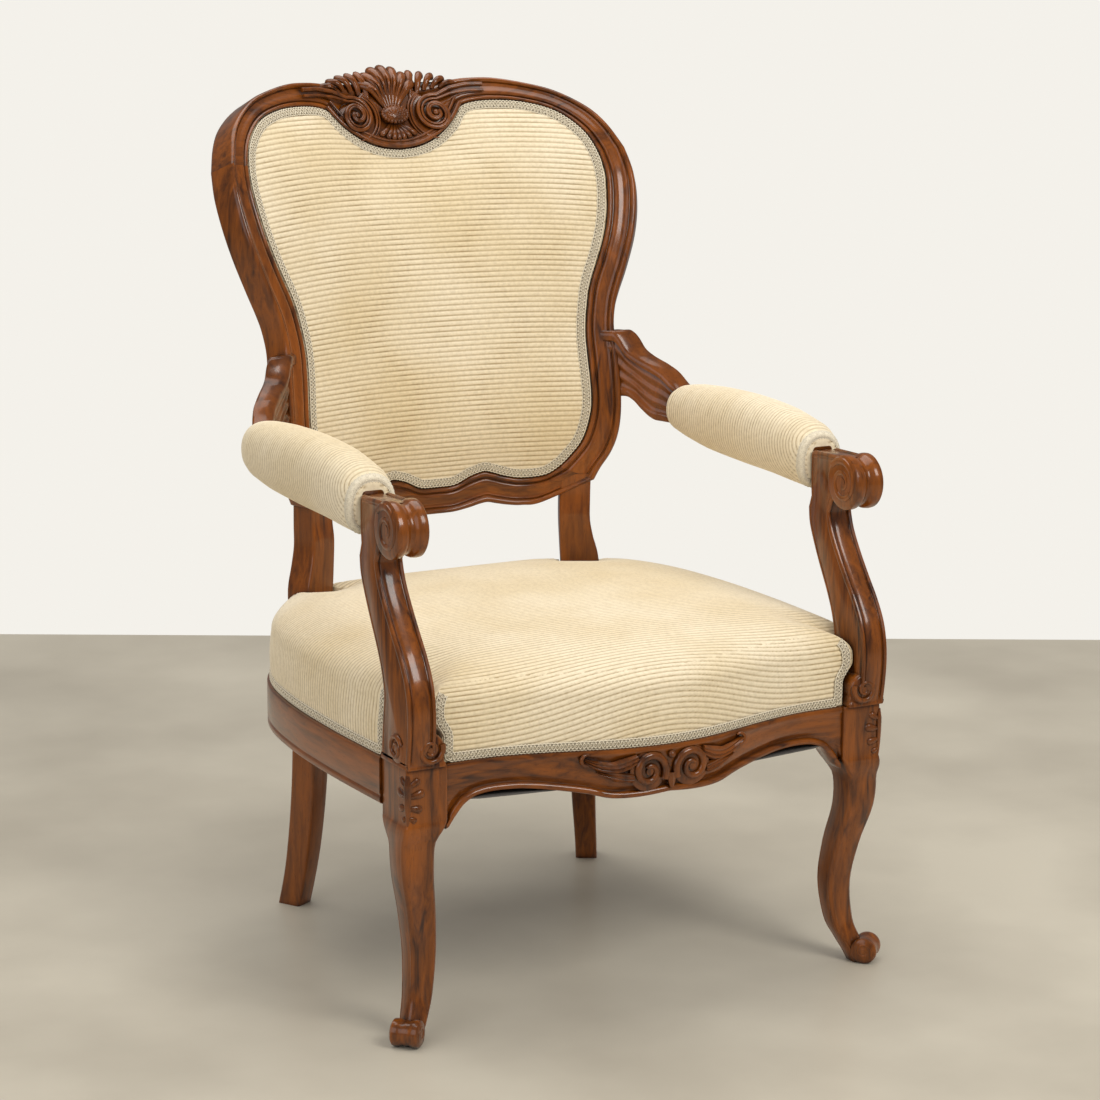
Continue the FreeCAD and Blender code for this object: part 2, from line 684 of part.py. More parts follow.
def seat_scroll(side):
    """One of the two carved C scrolls on the front rail, with its leaf tail."""
    level = (S.rail_top + FRONT_RAIL_BOTTOM) / 2
    radius, spacing, proud, tail_length = [share * S.front_rail_drop for share in SCROLL_SHARES]
    start_radius, end_radius, start_x, start_z = [share * radius for share in TAIL_SHARES]
    centre_x = side * spacing
    face = front_line(centre_x)
    scroll = rod(Vector(centre_x, face, level), Vector(0, 1, 0), radius, 2 * proud)
    tail_start = Vector(centre_x + side * start_x, face + proud, level + start_z)
    end_x = tail_start.x + side * tail_length
    axis = (Vector(end_x, front_line(end_x), tail_start.z) - tail_start).normalize()
    tail = Part.makeCone(start_radius, end_radius, tail_length, tail_start, axis)
    return scroll.fuse(tail)


def tenon(root, heading, grow=0.0):
    """A tenon that runs from inside a rail, through its shoulder at root, along the heading."""
    heading = Vector(heading).normalize()
    across = Vector(-heading.y, heading.x, 0)
    half_width = S.tenon_thickness / 2 + grow
    start = root - heading * S.tenon_length
    low = S.tenon_height / 2 + grow
    corners = [start + across * half_width, start - across * half_width]
    reach = heading * (2 * S.tenon_length + grow)
    points = [corners[0], corners[1], corners[1] + reach, corners[0] + reach]
    base = [p - Vector(0, 0, low) for p in points]
    return prism(closed_polygon(base), Vector(0, 0, 2 * low))


def front_tenon_root():
    level = S.rail_top - S.front_rail_drop * FRONT_TENON_SHARE
    return Vector(LEG_INNER, LEG_Y - S.tenon_thickness / 2, level)


def side_front_root():
    return Vector(LEG_X + S.tenon_thickness / 2, LEG_REAR, S.rail_top - S.side_rail_drop / 2)


def rear_arris(level):
    """The stile's outer front arris at the rails, with the directions across its face and back."""
    row = REAR_LEG_SHARES[5]
    x = row[1] * S.back_half_width
    turn = math.radians(row[4])
    inward = Vector(-math.cos(turn), math.sin(turn), 0)
    rearward = Vector(math.sin(turn), math.cos(turn), 0)
    return Vector(x, back_point(x, level).y, level), inward, rearward


def side_rear_root():
    level = S.rail_top - S.side_rail_drop * SIDE_TENON_SHARE
    arris, inward, rearward = rear_arris(level)
    return arris + rearward * (S.rear_leg_depth / 2), inward


def rear_tenon_root():
    level = SIDE_RAIL_BOTTOM + S.side_rail_drop * SIDE_TENON_SHARE
    arris, inward, rearward = rear_arris(level)
    width = REAR_LEG_SHARES[5][2] * S.rear_leg_width
    return arris + inward * width + rearward * (S.rear_leg_depth / 2)


def front_rail(leg, other_leg):
    blank = front_rail_blank().cut(leg).cut(other_leg)
    rebate = box_between(
        Vector(-LEG_INNER, -S.front_corner_reach - S.front_bow, 0),
        Vector(LEG_INNER, S.front_corner_reach, WEBBING_LEVEL),
    )
    inner = front_rail_blank()
    inner.translate(Vector(0, S.rail_thickness - S.webbing_rebate_width, 0))
    rail = single_solid(blank).cut(rebate.common(inner))
    root = front_tenon_root()
    for side in (-1, 1):
        rail = rail.fuse(tenon(Vector(side * root.x, root.y, root.z), Vector(side, 0, 0)))
        rail = rail.fuse(seat_scroll(side))
    return single_solid(rail.removeSplitter())


def side_points(inset=0.0):
    """The outer face of the side rail in plan, moved inwards by the inset."""
    start = LEG_REAR
    arris, _, rearward = rear_arris(S.rail_top)
    run = (arris + rearward * S.rear_leg_depth).y - start
    points = [Vector(a * S.seat_half_width, start + b * run, 0) for a, b in SIDE_SHARES]
    return offset_points(points, inset)


def offset_points(points, distance):
    """Points moved to the left of the way they run."""
    moved = []
    for index, point in enumerate(points):
        before = points[max(index - 1, 0)]
        after = points[min(index + 1, len(points) - 1)]
        along = (after - before).normalize()
        moved.append(point + Vector(-along.y, along.x, 0) * distance)
    return moved


def plan_band(inset, thickness):
    outer = side_points(inset)
    inner = side_points(inset + thickness)
    return band_wire(outer, inner)


def side_rail(leg, stile):
    rail = prism(plan_band(0, S.rail_thickness), Vector(0, 0, S.side_rail_drop))
    rail.translate(Vector(0, 0, SIDE_RAIL_BOTTOM))
    rebate_plan = plan_band(S.rail_thickness - S.webbing_rebate_width, S.rail_thickness)
    rebate = prism(rebate_plan, Vector(0, 0, WEBBING_LEVEL))
    rail = single_solid(rail.cut(rebate).cut(leg).cut(stile))
    root, heading = side_rear_root()
    rail = rail.fuse([tenon(side_front_root(), Vector(0, -1, 0)), tenon(root, heading)])
    return single_solid(rail.removeSplitter())


def rear_rail_front():
    arris, inward, _ = rear_arris(S.rail_top)
    width = REAR_LEG_SHARES[5][2] * S.rear_leg_width
    return (arris + inward * width).y + S.rear_rail_setback


def rear_seat_rail(stile, other_stile):
    half = REAR_LEG_SHARES[5][1] * S.back_half_width
    front = rear_rail_front()
    rear = front + S.rail_thickness * REAR_RAIL_SHARE
    rail = box_between(Vector(-half, front, SIDE_RAIL_BOTTOM), Vector(half, rear, S.rail_top))
    rebate = box_between(
        Vector(-half, front - S.overrun, 0), Vector(half, front + S.webbing_rebate_width, WEBBING_LEVEL)
    )
    rail = single_solid(rail.cut(rebate).cut(stile).cut(other_stile))
    root = rear_tenon_root()
    root.y = front + S.rail_thickness * REAR_TENON_SHARE
    for side in (-1, 1):
        rail = rail.fuse(tenon(Vector(side * root.x, root.y, root.z), Vector(side, 0, 0)))
    return single_solid(rail.removeSplitter())


# Arm posts and arms
def post_profile():
    """The S of the post in side view, up to the flat rear of its head."""
    front = []
    rear = []
    for height_share, setback_share, depth_share in POST_SHARES:
        z = S.rail_top + height_share * S.post_height
        y = -S.post_reach + setback_share * S.post_setback
        front.append(Vector(POST_INNER, y, z))
        rear.append(Vector(POST_INNER, y + depth_share * S.post_depth, z))
    head_level = S.rail_top + POST_HEAD_SHARE * S.post_height
    rear.append(Vector(POST_INNER, HEAD_REAR, head_level))
    roll = roll_centre()
    roll_top = Vector(POST_INNER, roll.y, roll.z + S.roll_radius * ROLL_LIP_SHARE)
    head_top = Vector(POST_INNER, HEAD_REAR, POST_TOP - S.post_height * HEAD_DROP_SHARE)
    cap = Part.makePolygon([rear[-1], head_top, roll_top, Vector(POST_INNER, roll.y, roll.z), front[-1]])
    foot = Part.LineSegment(front[0], rear[0]).toShape()
    return Part.Wire([spline(front), foot, spline(rear), cap])


def roll_centre():
    return Vector(POST_X, -S.post_reach + S.roll_setback, POST_TOP - S.roll_radius)


def arm_post():
    post = prism(post_profile(), Vector(S.post_width, 0, 0))
    roll = rod(roll_centre(), Vector(1, 0, 0), S.roll_radius, S.post_width + 2 * S.roll_proud)
    base_inner = S.post_outer - S.post_base_width
    front = -S.post_reach
    low = Vector(base_inner, front, S.rail_top)
    base = box_between(low, Vector(S.post_outer, front + S.post_depth, S.rail_top + S.post_base_height))
    volute_level = S.rail_top + S.volute_radius * VOLUTE_INSET_SHARE
    front_volute = Part.makeCylinder(
        S.volute_radius,
        S.post_depth + S.volute_proud,
        Vector(base_inner + S.volute_radius * VOLUTE_INSET_SHARE, front - S.volute_proud, volute_level),
        Vector(0, 1, 0),
    )
    side_volute = Part.makeCylinder(
        S.volute_radius,
        S.post_width / 2 + S.volute_proud,
        Vector(POST_X, front + S.post_depth * SIDE_VOLUTE_SHARE, volute_level),
        Vector(1, 0, 0),
    )
    return single_solid(post.fuse([roll, base, front_volute, side_volute]).removeSplitter())


def arm_middle(share):
    """Sideways place of the arm's middle at a share of the table."""
    return POST_X + share * (S.arm_rear_offset - POST_X)


def arm_section(shares, grow=0.0):
    run_share, side_share, low_share, high_share, thickness_share = shares
    y = HEAD_REAR + run_share * S.arm_run
    x = arm_middle(side_share)
    half = thickness_share * S.arm_thickness / 2 + grow
    low = S.arm_level + low_share * S.arm_rise - grow
    high = S.arm_level + high_share * S.arm_rise + grow
    corners = ((-half, low), (half, low), (half, high), (-half, high))
    return closed_polygon([Vector(x + px, y, pz) for px, pz in corners])


def arm(stile):
    bar = loft([arm_section(row) for row in refined(ARM_SHARES)])
    return single_solid(bar.cut(stile))


def interpolate_rows(rows, place, column):
    """A column of a table of shares at a place between its rows."""
    for before, after in zip(rows, rows[1:]):
        if place <= after[0]:
            part = (place - before[0]) / (after[0] - before[0])
            return before[column] + part * (after[column] - before[column])
    return rows[-1][column]


def pad_section(shares, inset):
    run_share, width_share, height_share, drop_share = shares
    y = HEAD_REAR + run_share * S.arm_run
    x = arm_middle(interpolate_rows(ARM_SHARES, run_share, 1))
    half_width = width_share * S.pad_half_width - inset
    half_height = height_share * S.pad_half_height - inset
    middle = Vector(x, y, S.pad_level - drop_share * S.pad_half_height)
    top = middle + Vector(0, 0, half_height)
    side = middle + Vector(half_width, 0, 0)
    return Part.Wire([Part.Ellipse(top, side, middle).toShape()])


def pad_body(inset, rows=PAD_SHARES):
    return loft([pad_section(row, inset) for row in refined(rows)])


def arm_keep_out():
    return loft([arm_section(row, S.soft_clearance) for row in refined(ARM_SHARES)])


def pad_stuffing(keep_out):
    return single_solid(pad_body(S.cover_thickness + S.soft_clearance).cut(keep_out))


def pad_cover(keep_out):
    return single_solid(pad_body(0).cut(pad_body(S.cover_thickness)).cut(keep_out))


# Seat cushion
def cushion_wire(level, shrink):
    """The seat's plan outline at a level, drawn in towards the middle by a share."""
    steps = len(SIDE_SHARES) * 2
    half = S.seat_half_width * SIDE_SHARES[0][0] - S.seat_inset
    places = [half * index / steps for index in range(-steps, steps + 1)]
    front = [Vector(x, front_line(x) + S.seat_inset, 0) for x in places]
    side = side_points(S.seat_inset)
    side[0] = front[-1]
    other = [Vector(-p.x, p.y, 0) for p in reversed(side)]
    rear_y = rear_rail_front() + S.rail_thickness * REAR_RAIL_SHARE - S.cover_thickness
    side[-1].y = rear_y
    other[0].y = rear_y
    rear = Part.LineSegment(side[-1], other[0]).toShape()
    wire = Part.Wire([spline(front), spline(side), rear, spline(other)])
    middle_y = (front_line(0) + rear_y) / 2
    matrix = FreeCAD.Matrix()
    matrix.move(Vector(0, -middle_y, 0))
    matrix.scale(1 - shrink, 1 - shrink, 1)
    matrix.move(Vector(0, middle_y, level))
    return wire.transformGeometry(matrix)


def cushion_body(inset):
    """The domed seat, made smaller all round by an inset."""
    wires = []
    shrink_more = inset / S.seat_half_width
    for height_share, shrink in CUSHION_SHARES:
        level = S.rail_top + S.soft_clearance + height_share * (S.seat_crown_height - inset)
        wires.append(cushion_wire(level, shrink + shrink_more))
    return loft(wires)


def seat_keep_outs(stile, other_stile):
    """Cutters for the notches round the posts and the stiles."""
    cutters = [stile, other_stile]
    notch_x = S.post_outer - S.post_base_width - S.soft_clearance
    notch_y = -S.post_reach + S.post_depth + S.soft_clearance
    reach = S.post_reach + S.overrun
    for side in (-1, 1):
        low = Vector(min(side * notch_x, side * reach), -reach, 0)
        high = Vector(max(side * notch_x, side * reach), notch_y, POST_TOP)
        cutters.append(box_between(low, high))
    return cutters


def spring_space(grow=0.0):
    """The hollow under the seat stuffing where the springs stand."""
    wire = cushion_wire(0, (S.seat_edge_wall - grow) / S.seat_half_width)
    return prism(wire, Vector(0, 0, spring_top() - grow))


def spring_top():
    return WEBBING_LEVEL + 2 * S.strip_thickness + S.spring_height + S.hessian_thickness


def seat_stuffing(cutters):
    body = cushion_body(S.cover_thickness + EDGE_CLEARANCES * S.soft_clearance)
    return single_solid(body.cut(spring_space()).cut(cutters))


def seat_cover(cutters):
    shell = cushion_body(0).cut(cushion_body(S.cover_thickness))
    return single_solid(shell.cut(cutters))


# Layers of the back
def back_patch(depth, crown=0.0):
    """A smooth sheet behind the front of the back frame by a depth, swelling forward by a crown."""
    rows = []
    margin = S.overrun * PATCH_OVERRUN_SHARE
    for j in range(PATCH_COUNT + 2):
        z = S.back_bottom - margin + (S.back_height + 2 * margin) * j / (PATCH_COUNT + 1)
        row = []
        for i in range(-PATCH_COUNT, PATCH_COUNT + 1):
            x = S.back_half_width * i / PATCH_COUNT
            swell = crown * swelling(x, z)
            row.append(back_point(x, z) + back_normal(x, z) * (depth - swell))
        rows.append(row)
    surface = Part.BSplineSurface()
    surface.interpolate(rows)
    return surface.toShape()


def opening_half_width(z):
    """Half the width of the opening of the back at a height."""
    places = [frame_place(a, b) for a, b, _, _ in STILE_SHARES + CREST_SHARES[1:4]]
    if z <= places[0][1]:
        return places[0][0]
    for before, after in zip(places, places[1:]):
        if z <= after[1]:
            return before[0] + (after[0] - before[0]) * (z - before[1]) / (after[1] - before[1])
    return places[-1][0]


def swelling(x, z):
    """How much of the crown shows at a place: none at the frame, all in the middle."""
    across = 1 - abs(x / opening_half_width(z)) ** 3
    upright = 1 - abs((z - S.back_bottom - CROWN_LEVEL_SHARE * S.back_height)
                      / (CROWN_REACH_SHARE * S.back_height)) ** 4
    swell = across * upright if across > 0 and upright > 0 else min(across, upright)
    shell_level = S.shell_drop + S.shell_height * DENT_LEVEL_SHARE
    away = (x / S.shell_half_width) ** 2 + ((z - shell_level) / (S.shell_height / 2)) ** 2
    return max(SINK_SHARE, swell * (1 - math.exp(-away)))


def opening_rows():
    """The rows of the frame's tables round the right half of the opening, from its foot to its top."""
    foot = [row for row in refined(mirror_shares(BOTTOM_SHARES)) if 0 <= row[0] < FOOT_END_SHARE]
    head = [row for row in refined(mirror_shares(CREST_SHARES[::-1])) if row[0] <= 0]
    head = [(-a, b, -c, d) for a, b, c, d in head]
    return foot + refined(STILE_SHARES) + head[1:]


def opening_points(depth):
    """The inner edge of the back frame at a depth behind its face, in x and height."""
    points = []
    for inner_x, inner_z, outer_x, outer_z in opening_rows():
        rearward = back_normal(*frame_place((inner_x + outer_x) / 2, (inner_z + outer_z) / 2))
        place = back_point(*frame_place(inner_x, inner_z)) + rearward * depth
        points.append(Vector(place.x, place.z, 0))
    return points


def opening_wire(inset, front_depth, rear_depth):
    """The inner edge of the back frame, clear of it at both depths and drawn in by an inset."""
    front = opening_points(front_depth)
    rear = opening_points(rear_depth)
    nearer = offset_points(front, inset)
    points = []
    for first, second, inner in zip(front, rear, nearer):
        inward = inner - first
        points.append(max(first, second, key=inward.dot))
    moved = offset_points(points, inset)
    moved[0] = points[0] + Vector(0, inset, 0)
    moved[-1] = points[-1] - Vector(0, inset, 0)
    right = [Vector(p.x, -S.front_corner_reach, p.y) for p in moved]
    left = [Vector(-p.x, p.y, p.z) for p in reversed(right)]
    return Part.Wire([spline(right), spline(left)])


def opening_prism(front_depth, rear_depth, inset=0.0):
    """The room in the opening of the back between two depths, with clearance at its edge."""
    wire = opening_wire(inset + EDGE_CLEARANCES * S.soft_clearance, front_depth, rear_depth)
    return prism(wire, Vector(0, 3 * S.front_corner_reach, 0))


def back_layer(depth, thickness):
    """A thin sheet of the back, cut to the opening."""
    sheet_solid = back_patch(depth).extrude(Vector(0, thickness, 0))
    return single_solid(sheet_solid.common(opening_prism(depth, depth + thickness)))


def hessian_depth():
    return S.ledge_front_step - 2 * S.strip_thickness - S.hessian_thickness - 2 * S.soft_clearance


def back_cover_front():
    return hessian_depth() - 2 * S.soft_clearance - 2 * S.cover_thickness


def back_stuffing():
    front = back_patch(hessian_depth() - S.soft_clearance - S.cover_thickness, S.back_crown)
    body = front.extrude(Vector(0, S.back_sweep, 0))
    rear = back_patch(hessian_depth() - S.soft_clearance).extrude(Vector(0, 2 * S.back_sweep, 0))
    return single_solid(body.cut(rear).common(opening_prism(back_cover_front(), hessian_depth())))


def back_cover():
    depth = back_cover_front() + S.cover_thickness
    front = back_patch(back_cover_front(), S.back_crown)
    body = front.extrude(Vector(0, S.back_sweep, 0))
    rear = back_patch(depth, S.back_crown).extrude(Vector(0, 2 * S.back_sweep, 0))
    return single_solid(body.cut(rear).common(opening_prism(back_cover_front(), depth)))


def outside_back_cover():
    depth = S.frame_thickness - S.ledge_back_step + 2 * S.soft_clearance
    return back_layer(depth, S.cover_thickness)


def strip_prism(vertical, place):
    """A window, seen from the front, as wide as one strip of webbing."""
    reach = 2 * S.front_corner_reach
    half = S.strip_width / 2
    if vertical:
        return box_between(Vector(place - half, -reach, 0), Vector(place + half, reach, 2 * BACK_TOP))
    return box_between(Vector(-reach, -reach, place - half), Vector(reach, reach, place + half))


def back_webbing():
    rear_depth = S.ledge_front_step - S.strip_thickness - S.soft_clearance
    rear = back_layer(rear_depth, S.strip_thickness * SLACK_SHARE)
    front = back_layer(rear_depth - S.strip_thickness, S.strip_thickness * SLACK_SHARE)
    strips = []
    for index in (-1, 0, 1):
        strips.append(rear.common(strip_prism(True, index * S.back_strip_pitch)))
    middle = S.back_bottom + S.back_height / 2
    for index in (-1.5, -0.5, 0.5, 1.5):
        strips.append(front.common(strip_prism(False, middle + index * S.back_strip_pitch)))
    return Part.makeCompound([single_solid(strip) for strip in strips])


# Seat support
def seat_webbing(frame):
    """Strips from front to back, and strips from side to side on top of them."""
    low = WEBBING_LEVEL - 2 * S.strip_thickness
    half = S.strip_width / 2
    strips = []
    rear = rear_rail_front() + S.webbing_rebate_width - S.joint_clearance
    for index in (-1, 0, 1):
        x = index * S.seat_strip_pitch * LENGTHWISE_PITCH_SHARE
        front = front_line(abs(x) + half) + S.rail_thickness - S.webbing_rebate_width + S.joint_clearance
        front = max(front, front_line(x) + S.rail_thickness - S.webbing_rebate_width)
        high = low + S.strip_thickness
        strips.append(box_between(Vector(x - half, front, low), Vector(x + half, rear, high)))
    middle = (LEG_REAR + rear_rail_front()) / 2
    reach = side_reach(middle)
    for index in (-1, 0, 1):
        y = middle + index * S.seat_strip_pitch
        reach = min(side_reach(y - half), side_reach(y + half)) - S.rail_thickness + S.webbing_rebate_width
        bottom = low + S.strip_thickness
        top = low + 2 * S.strip_thickness
        strips.append(box_between(Vector(-reach, y - half, bottom), Vector(reach, y + half, top)))
    return Part.makeCompound([single_solid(strip.cut(frame)) for strip in strips])


def side_reach(y):
    """Half width of the seat at the outer face of the side rails."""
    points = side_points()
    for before, after in zip(points, points[1:]):
        if y <= after.y:
            return before.x + (after.x - before.x) * (y - before.y) / (after.y - before.y)
    return points[-1].x


def spring_coil():
    """One waisted coil spring: a round wire swept along a helix of changing radius."""
    turns = int(S.spring_turns)
    steps = COIL_STEPS * turns
    height = S.spring_height - S.spring_wire
    points = []
    for index in range(steps + 1):
        part = index / steps
        angle = 2 * math.pi * turns * part
        radius = S.spring_waist_radius + (S.spring_radius - S.spring_waist_radius) * (2 * part - 1) ** 2
        level = S.spring_wire / 2 + height * part
        points.append(Vector(radius * math.cos(angle), radius * math.sin(angle), level))
    path = Part.Wire([spline(points)])
    heading = path.Edges[0].tangentAt(path.Edges[0].FirstParameter)
    profile = Part.Wire([Part.makeCircle(S.spring_wire / 2, points[0], heading)])
    return path.makePipeShell([profile], True, True)


def seat_springs():
    coil = spring_coil()
    coils = []
    low = WEBBING_LEVEL
    middle = (LEG_REAR + rear_rail_front()) / 2
    for column in (-1, 0, 1):
        for row in (-1, 0, 1):
            copy = coil.copy()
            x = column * S.seat_strip_pitch * LENGTHWISE_PITCH_SHARE
            copy.translate(Vector(x, middle + row * S.seat_strip_pitch, low))
            coils.append(copy)
    return Part.makeCompound(coils)


def seat_hessian(cutters):
    wire = cushion_wire(spring_top() - S.hessian_thickness - S.soft_clearance,
                        (S.seat_edge_wall + S.soft_clearance) / S.seat_half_width)
    return single_solid(prism(wire, Vector(0, 0, S.hessian_thickness)).cut(cutters))


def dust_cover(frame):
    wire = cushion_wire(WEBBING_LEVEL - 2 * S.strip_thickness - S.hessian_thickness - S.soft_clearance,
                        S.rail_thickness * DUST_INSET_SHARE / S.seat_half_width)
    return single_solid(prism(wire, Vector(0, 0, S.hessian_thickness)).cut(frame))


# Gimp
def back_gimp():
    """The braid on the cover round the opening of the back."""
    depth = back_cover_front() - S.soft_clearance
    face = depth - S.gimp_thickness
    front = back_patch(face, S.back_crown)
    body = front.extrude(Vector(0, S.back_sweep, 0))
    rear = back_patch(depth, S.back_crown).extrude(Vector(0, 2 * S.back_sweep, 0))
    band = opening_prism(face, depth).cut(opening_prism(depth, depth, S.gimp_width))
    return single_solid(body.cut(rear).common(band))


def pad_gimp(keep_out):
    """A ring of braid round each end of the pad."""
    rings = []
    for rows in (PAD_RING_SHARES[:2], PAD_RING_SHARES[2:]):
        outer = pad_body(-S.soft_clearance - S.gimp_thickness, rows)
        ring = outer.cut(pad_body(-S.soft_clearance)).cut(keep_out)
        rings.append(single_solid(ring))
    return Part.makeCompound(rings)


def seat_gimp_front(cushion):
    """The braid along the foot of the seat cover, between the posts."""
    half = S.post_outer - S.post_base_width - 2 * S.soft_clearance
    count = len(SIDE_SHARES) * 2
    places = [half * i / count for i in range(-count, count + 1)]
    return gimp_wall([Vector(x, front_line(x) + S.seat_inset, 0) for x in places], cushion)


def seat_gimp_side(cushion):
    return gimp_wall(side_points(S.seat_inset), cushion)


def gimp_wall(points, cushion):
    """An upright braid against the cushion, outside a line in plan."""
    near = offset_points(points, S.gimp_thickness)
    far = offset_points(points, -S.gimp_thickness - 2 * S.soft_clearance)
    wire = band_wire(near, far)
    wire.translate(Vector(0, 0, S.rail_top + S.soft_clearance))
    return single_solid(prism(wire, Vector(0, 0, S.gimp_width)).cut(cushion))


# Document objects
nodes = {}


def add_feature(name, shape):
    """A sub-part whose shape is worked out here from the sheet's sizes."""
    feature = doc.addObject("Part::Feature", name)
    feature.Label = name
    feature.Shape = shape
    feature.Placement = Placement()
    nodes[name] = feature
    return feature


def add_mirror(name, source):
    """The left hand twin of a right hand sub-part."""
    mirror = doc.addObject("Part::Mirroring", name)
    mirror.Label = name
    mirror.Source = source
    mirror.Normal = Vector(1, 0, 0)
    doc.recompute()
    nodes[name] = mirror
    return mirror


def add_pair(name, shape):
    right = add_feature(f"{name}_right", shape)
    return right, add_mirror(f"{name}_left", right)


def gather(name, members):
    """One sub-part that holds separate solids."""
    group = doc.addObject("Part::Compound", name)
    group.Label = name
    group.Links = members
    nodes[name] = group
    return group


def add_rods(name, places, radius_name, length_name):
    """Round pins bound to the sheet; each place is the pin's middle and its direction."""
    length = getattr(S, length_name)
    members = []
    for index, (centre, axis) in enumerate(places):
        pin = doc.addObject("Part::Cylinder", f"{name}_{index + 1}")
        pin.setExpression("Radius", f"Sizes.{radius_name}")
        pin.setExpression("Height", f"Sizes.{length_name}")
        pin.Placement = Placement(centre - axis * (length / 2), Rotation(Vector(0, 0, 1), axis))
        members.append(pin)
    return gather(name, members)


def add_screw(name, head, axis):
    """A countersunk screw bound to the sheet, from the top of its head along the axis."""
    shank = doc.addObject("Part::Cylinder", f"{name}_shank")
    shank.setExpression("Radius", "Sizes.screw_radius")
    shank.setExpression("Height", "Sizes.screw_length")
    cone = doc.addObject("Part::Cone", f"{name}_head")
    cone.setExpression("Radius1", "Sizes.screw_head_radius")
    cone.setExpression("Radius2", "Sizes.screw_radius")
    cone.setExpression("Height", "Sizes.screw_head_height")
    screw = doc.addObject("Part::MultiFuse", name)
    screw.Shapes = [shank, cone]
    screw.Placement = Placement(head, Rotation(Vector(0, 0, 1), axis))
    return screw


def add_screws(name, places):
    return gather(name, [add_screw(f"{name}_{i + 1}", head, axis) for i, (head, axis) in enumerate(places)])


def mirrored_places(places):
    """Places of the right half and their twins on the left."""
    twins = [(Vector(-p.x, p.y, p.z), Vector(-a.x, a.y, a.z)) for p, a in places]
    return list(places) + twins


# Holes for pins and screws
def pin_holes(places, radius, length):
    gap = S.joint_clearance
    return [rod(centre, axis, radius + gap, length + 2 * gap) for centre, axis in places]


def dowel_holes(places):
    return pin_holes(places, S.dowel_radius, S.dowel_length)


def screw_holes(places):
    """Holes with countersinks, open behind the screws' heads."""
    gap = S.joint_clearance
    holes = []
    for head, axis in places:
        shank = Part.makeCylinder(S.screw_radius + gap, S.screw_length + gap, head, axis)
        head_radius = S.screw_head_radius + gap
        sink = Part.makeCone(head_radius, S.screw_radius + gap, S.screw_head_height + gap, head, axis)
        bore = Part.makeCylinder(head_radius, S.overrun, head - axis * S.overrun, axis)
        holes.append(shank.fuse([sink, bore]))
    return holes


# Places of the pins, all on the right half
def section_middle(shares):
    inner = back_point(*frame_place(shares[0], shares[1]))
    outer = back_point(*frame_place(shares[2], shares[3]))
    middle_x = (shares[0] + shares[2]) / 2
    middle_z = (shares[1] + shares[3]) / 2
    rearward = back_normal(*frame_place(middle_x, middle_z))
    return (inner + outer) / 2 + rearward * (S.frame_thickness / 2), rearward, (outer - inner).normalize()


def crest_dowel_places():
    middle, rearward, across = section_middle(STILE_SHARES[-1])
    axis = rearward.cross(across).normalize()
    spread = rearward * (S.frame_thickness * DOWEL_SPREAD_SHARE)
    return [(middle + spread, axis), (middle - spread, axis)]


def bottom_dowel_places():
    point, outward, _ = bottom_joint()
    _, rearward, _ = section_middle(STILE_SHARES[0])
    middle = point + rearward * (S.frame_thickness / 2)
    middle.z = S.back_bottom + S.back_height * DOWEL_LEVEL_SHARE
    spread = Vector(0, 0, S.frame_thickness * DOWEL_SPREAD_SHARE)
    return [(middle + spread, outward), (middle - spread, outward)]


def post_dowel_places():
    places = []
    for share in POST_DOWEL_SHARES:
        place = Vector(POST_X, -S.post_reach + share * S.post_depth, S.rail_top)
        places.append((place, Vector(0, 0, 1)))
    return places


def arm_dowel_places():
    level = S.arm_level + S.arm_rise * ARM_DOWEL_SHARE
    return [(Vector(POST_X, HEAD_REAR, level), Vector(0, 1, 0))]


def bracket_dowel_places():
    """Dowels from the arm's bracket into the side of the stile, along the bracket."""
    first, last = ARM_SHARES[BRACKET_START_ROW], ARM_SHARES[-1]
    run = Vector(arm_middle(last[1]) - arm_middle(first[1]), (last[0] - first[0]) * S.arm_run, 0)
    places = []
    for share in BRACKET_DOWEL_SHARES:
        z = S.arm_level + share * S.arm_rise
        height_share = (z - S.back_bottom) / S.back_height
        outer_x = interpolate_rows(outer_edge_rows(), height_share, 1) * S.back_half_width
        contact = back_point(outer_x, z) + back_normal(outer_x, z) * (S.frame_thickness / 2)
        places.append((contact, Vector(run).normalize()))
    return places


def outer_edge_rows():
    return [(height, x) for _, _, x, height in STILE_SHARES]


def peg_places():
    """Pegs down through the leg's tenons, and forward through the stile's tenons."""
    half = S.peg_length / 2
    down = Vector(0, 0, 1)
    places = []
    for root, heading in ((front_tenon_root(), Vector(1, 0, 0)), (side_front_root(), Vector(0, -1, 0))):
        middle = root + heading * (S.tenon_length / 2)
        places.append((Vector(middle.x, middle.y, S.rail_top - S.joint_clearance - half), down))
    arris, inward, rearward = rear_arris(S.rail_top)
    rear_face = (arris + rearward * (REAR_LEG_SHARES[5][3] * S.rear_leg_depth)).dot(rearward)
    rear_root = rear_tenon_root()
    rear_root.y = rear_rail_front() + S.rail_thickness * REAR_TENON_SHARE
    for root, heading in (side_rear_root(), (rear_root, Vector(1, 0, 0))):
        middle = root + heading * (S.tenon_length / 2)
        middle = middle + rearward * (rear_face - middle.dot(rearward) - half)
        places.append((middle, rearward))
    return places


# Corner blocks
def front_block_corner():
    x = S.seat_half_width - S.rail_thickness + S.block_embed / 4
    return Vector(x, -S.front_corner_reach + S.rail_thickness - S.block_embed, block_low())


def rear_block_corner():
    arris, inward, rearward = rear_arris(S.rail_top)
    return Vector(arris.x + S.block_embed / 2, rear_rail_front() + S.block_embed, block_low())


def block_low():
    return S.rail_top - S.block_drop - S.block_height


def front_block_ends():
    corner = front_block_corner()
    return corner + Vector(-S.block_leg, 0, 0), corner + Vector(0, S.block_leg, 0)


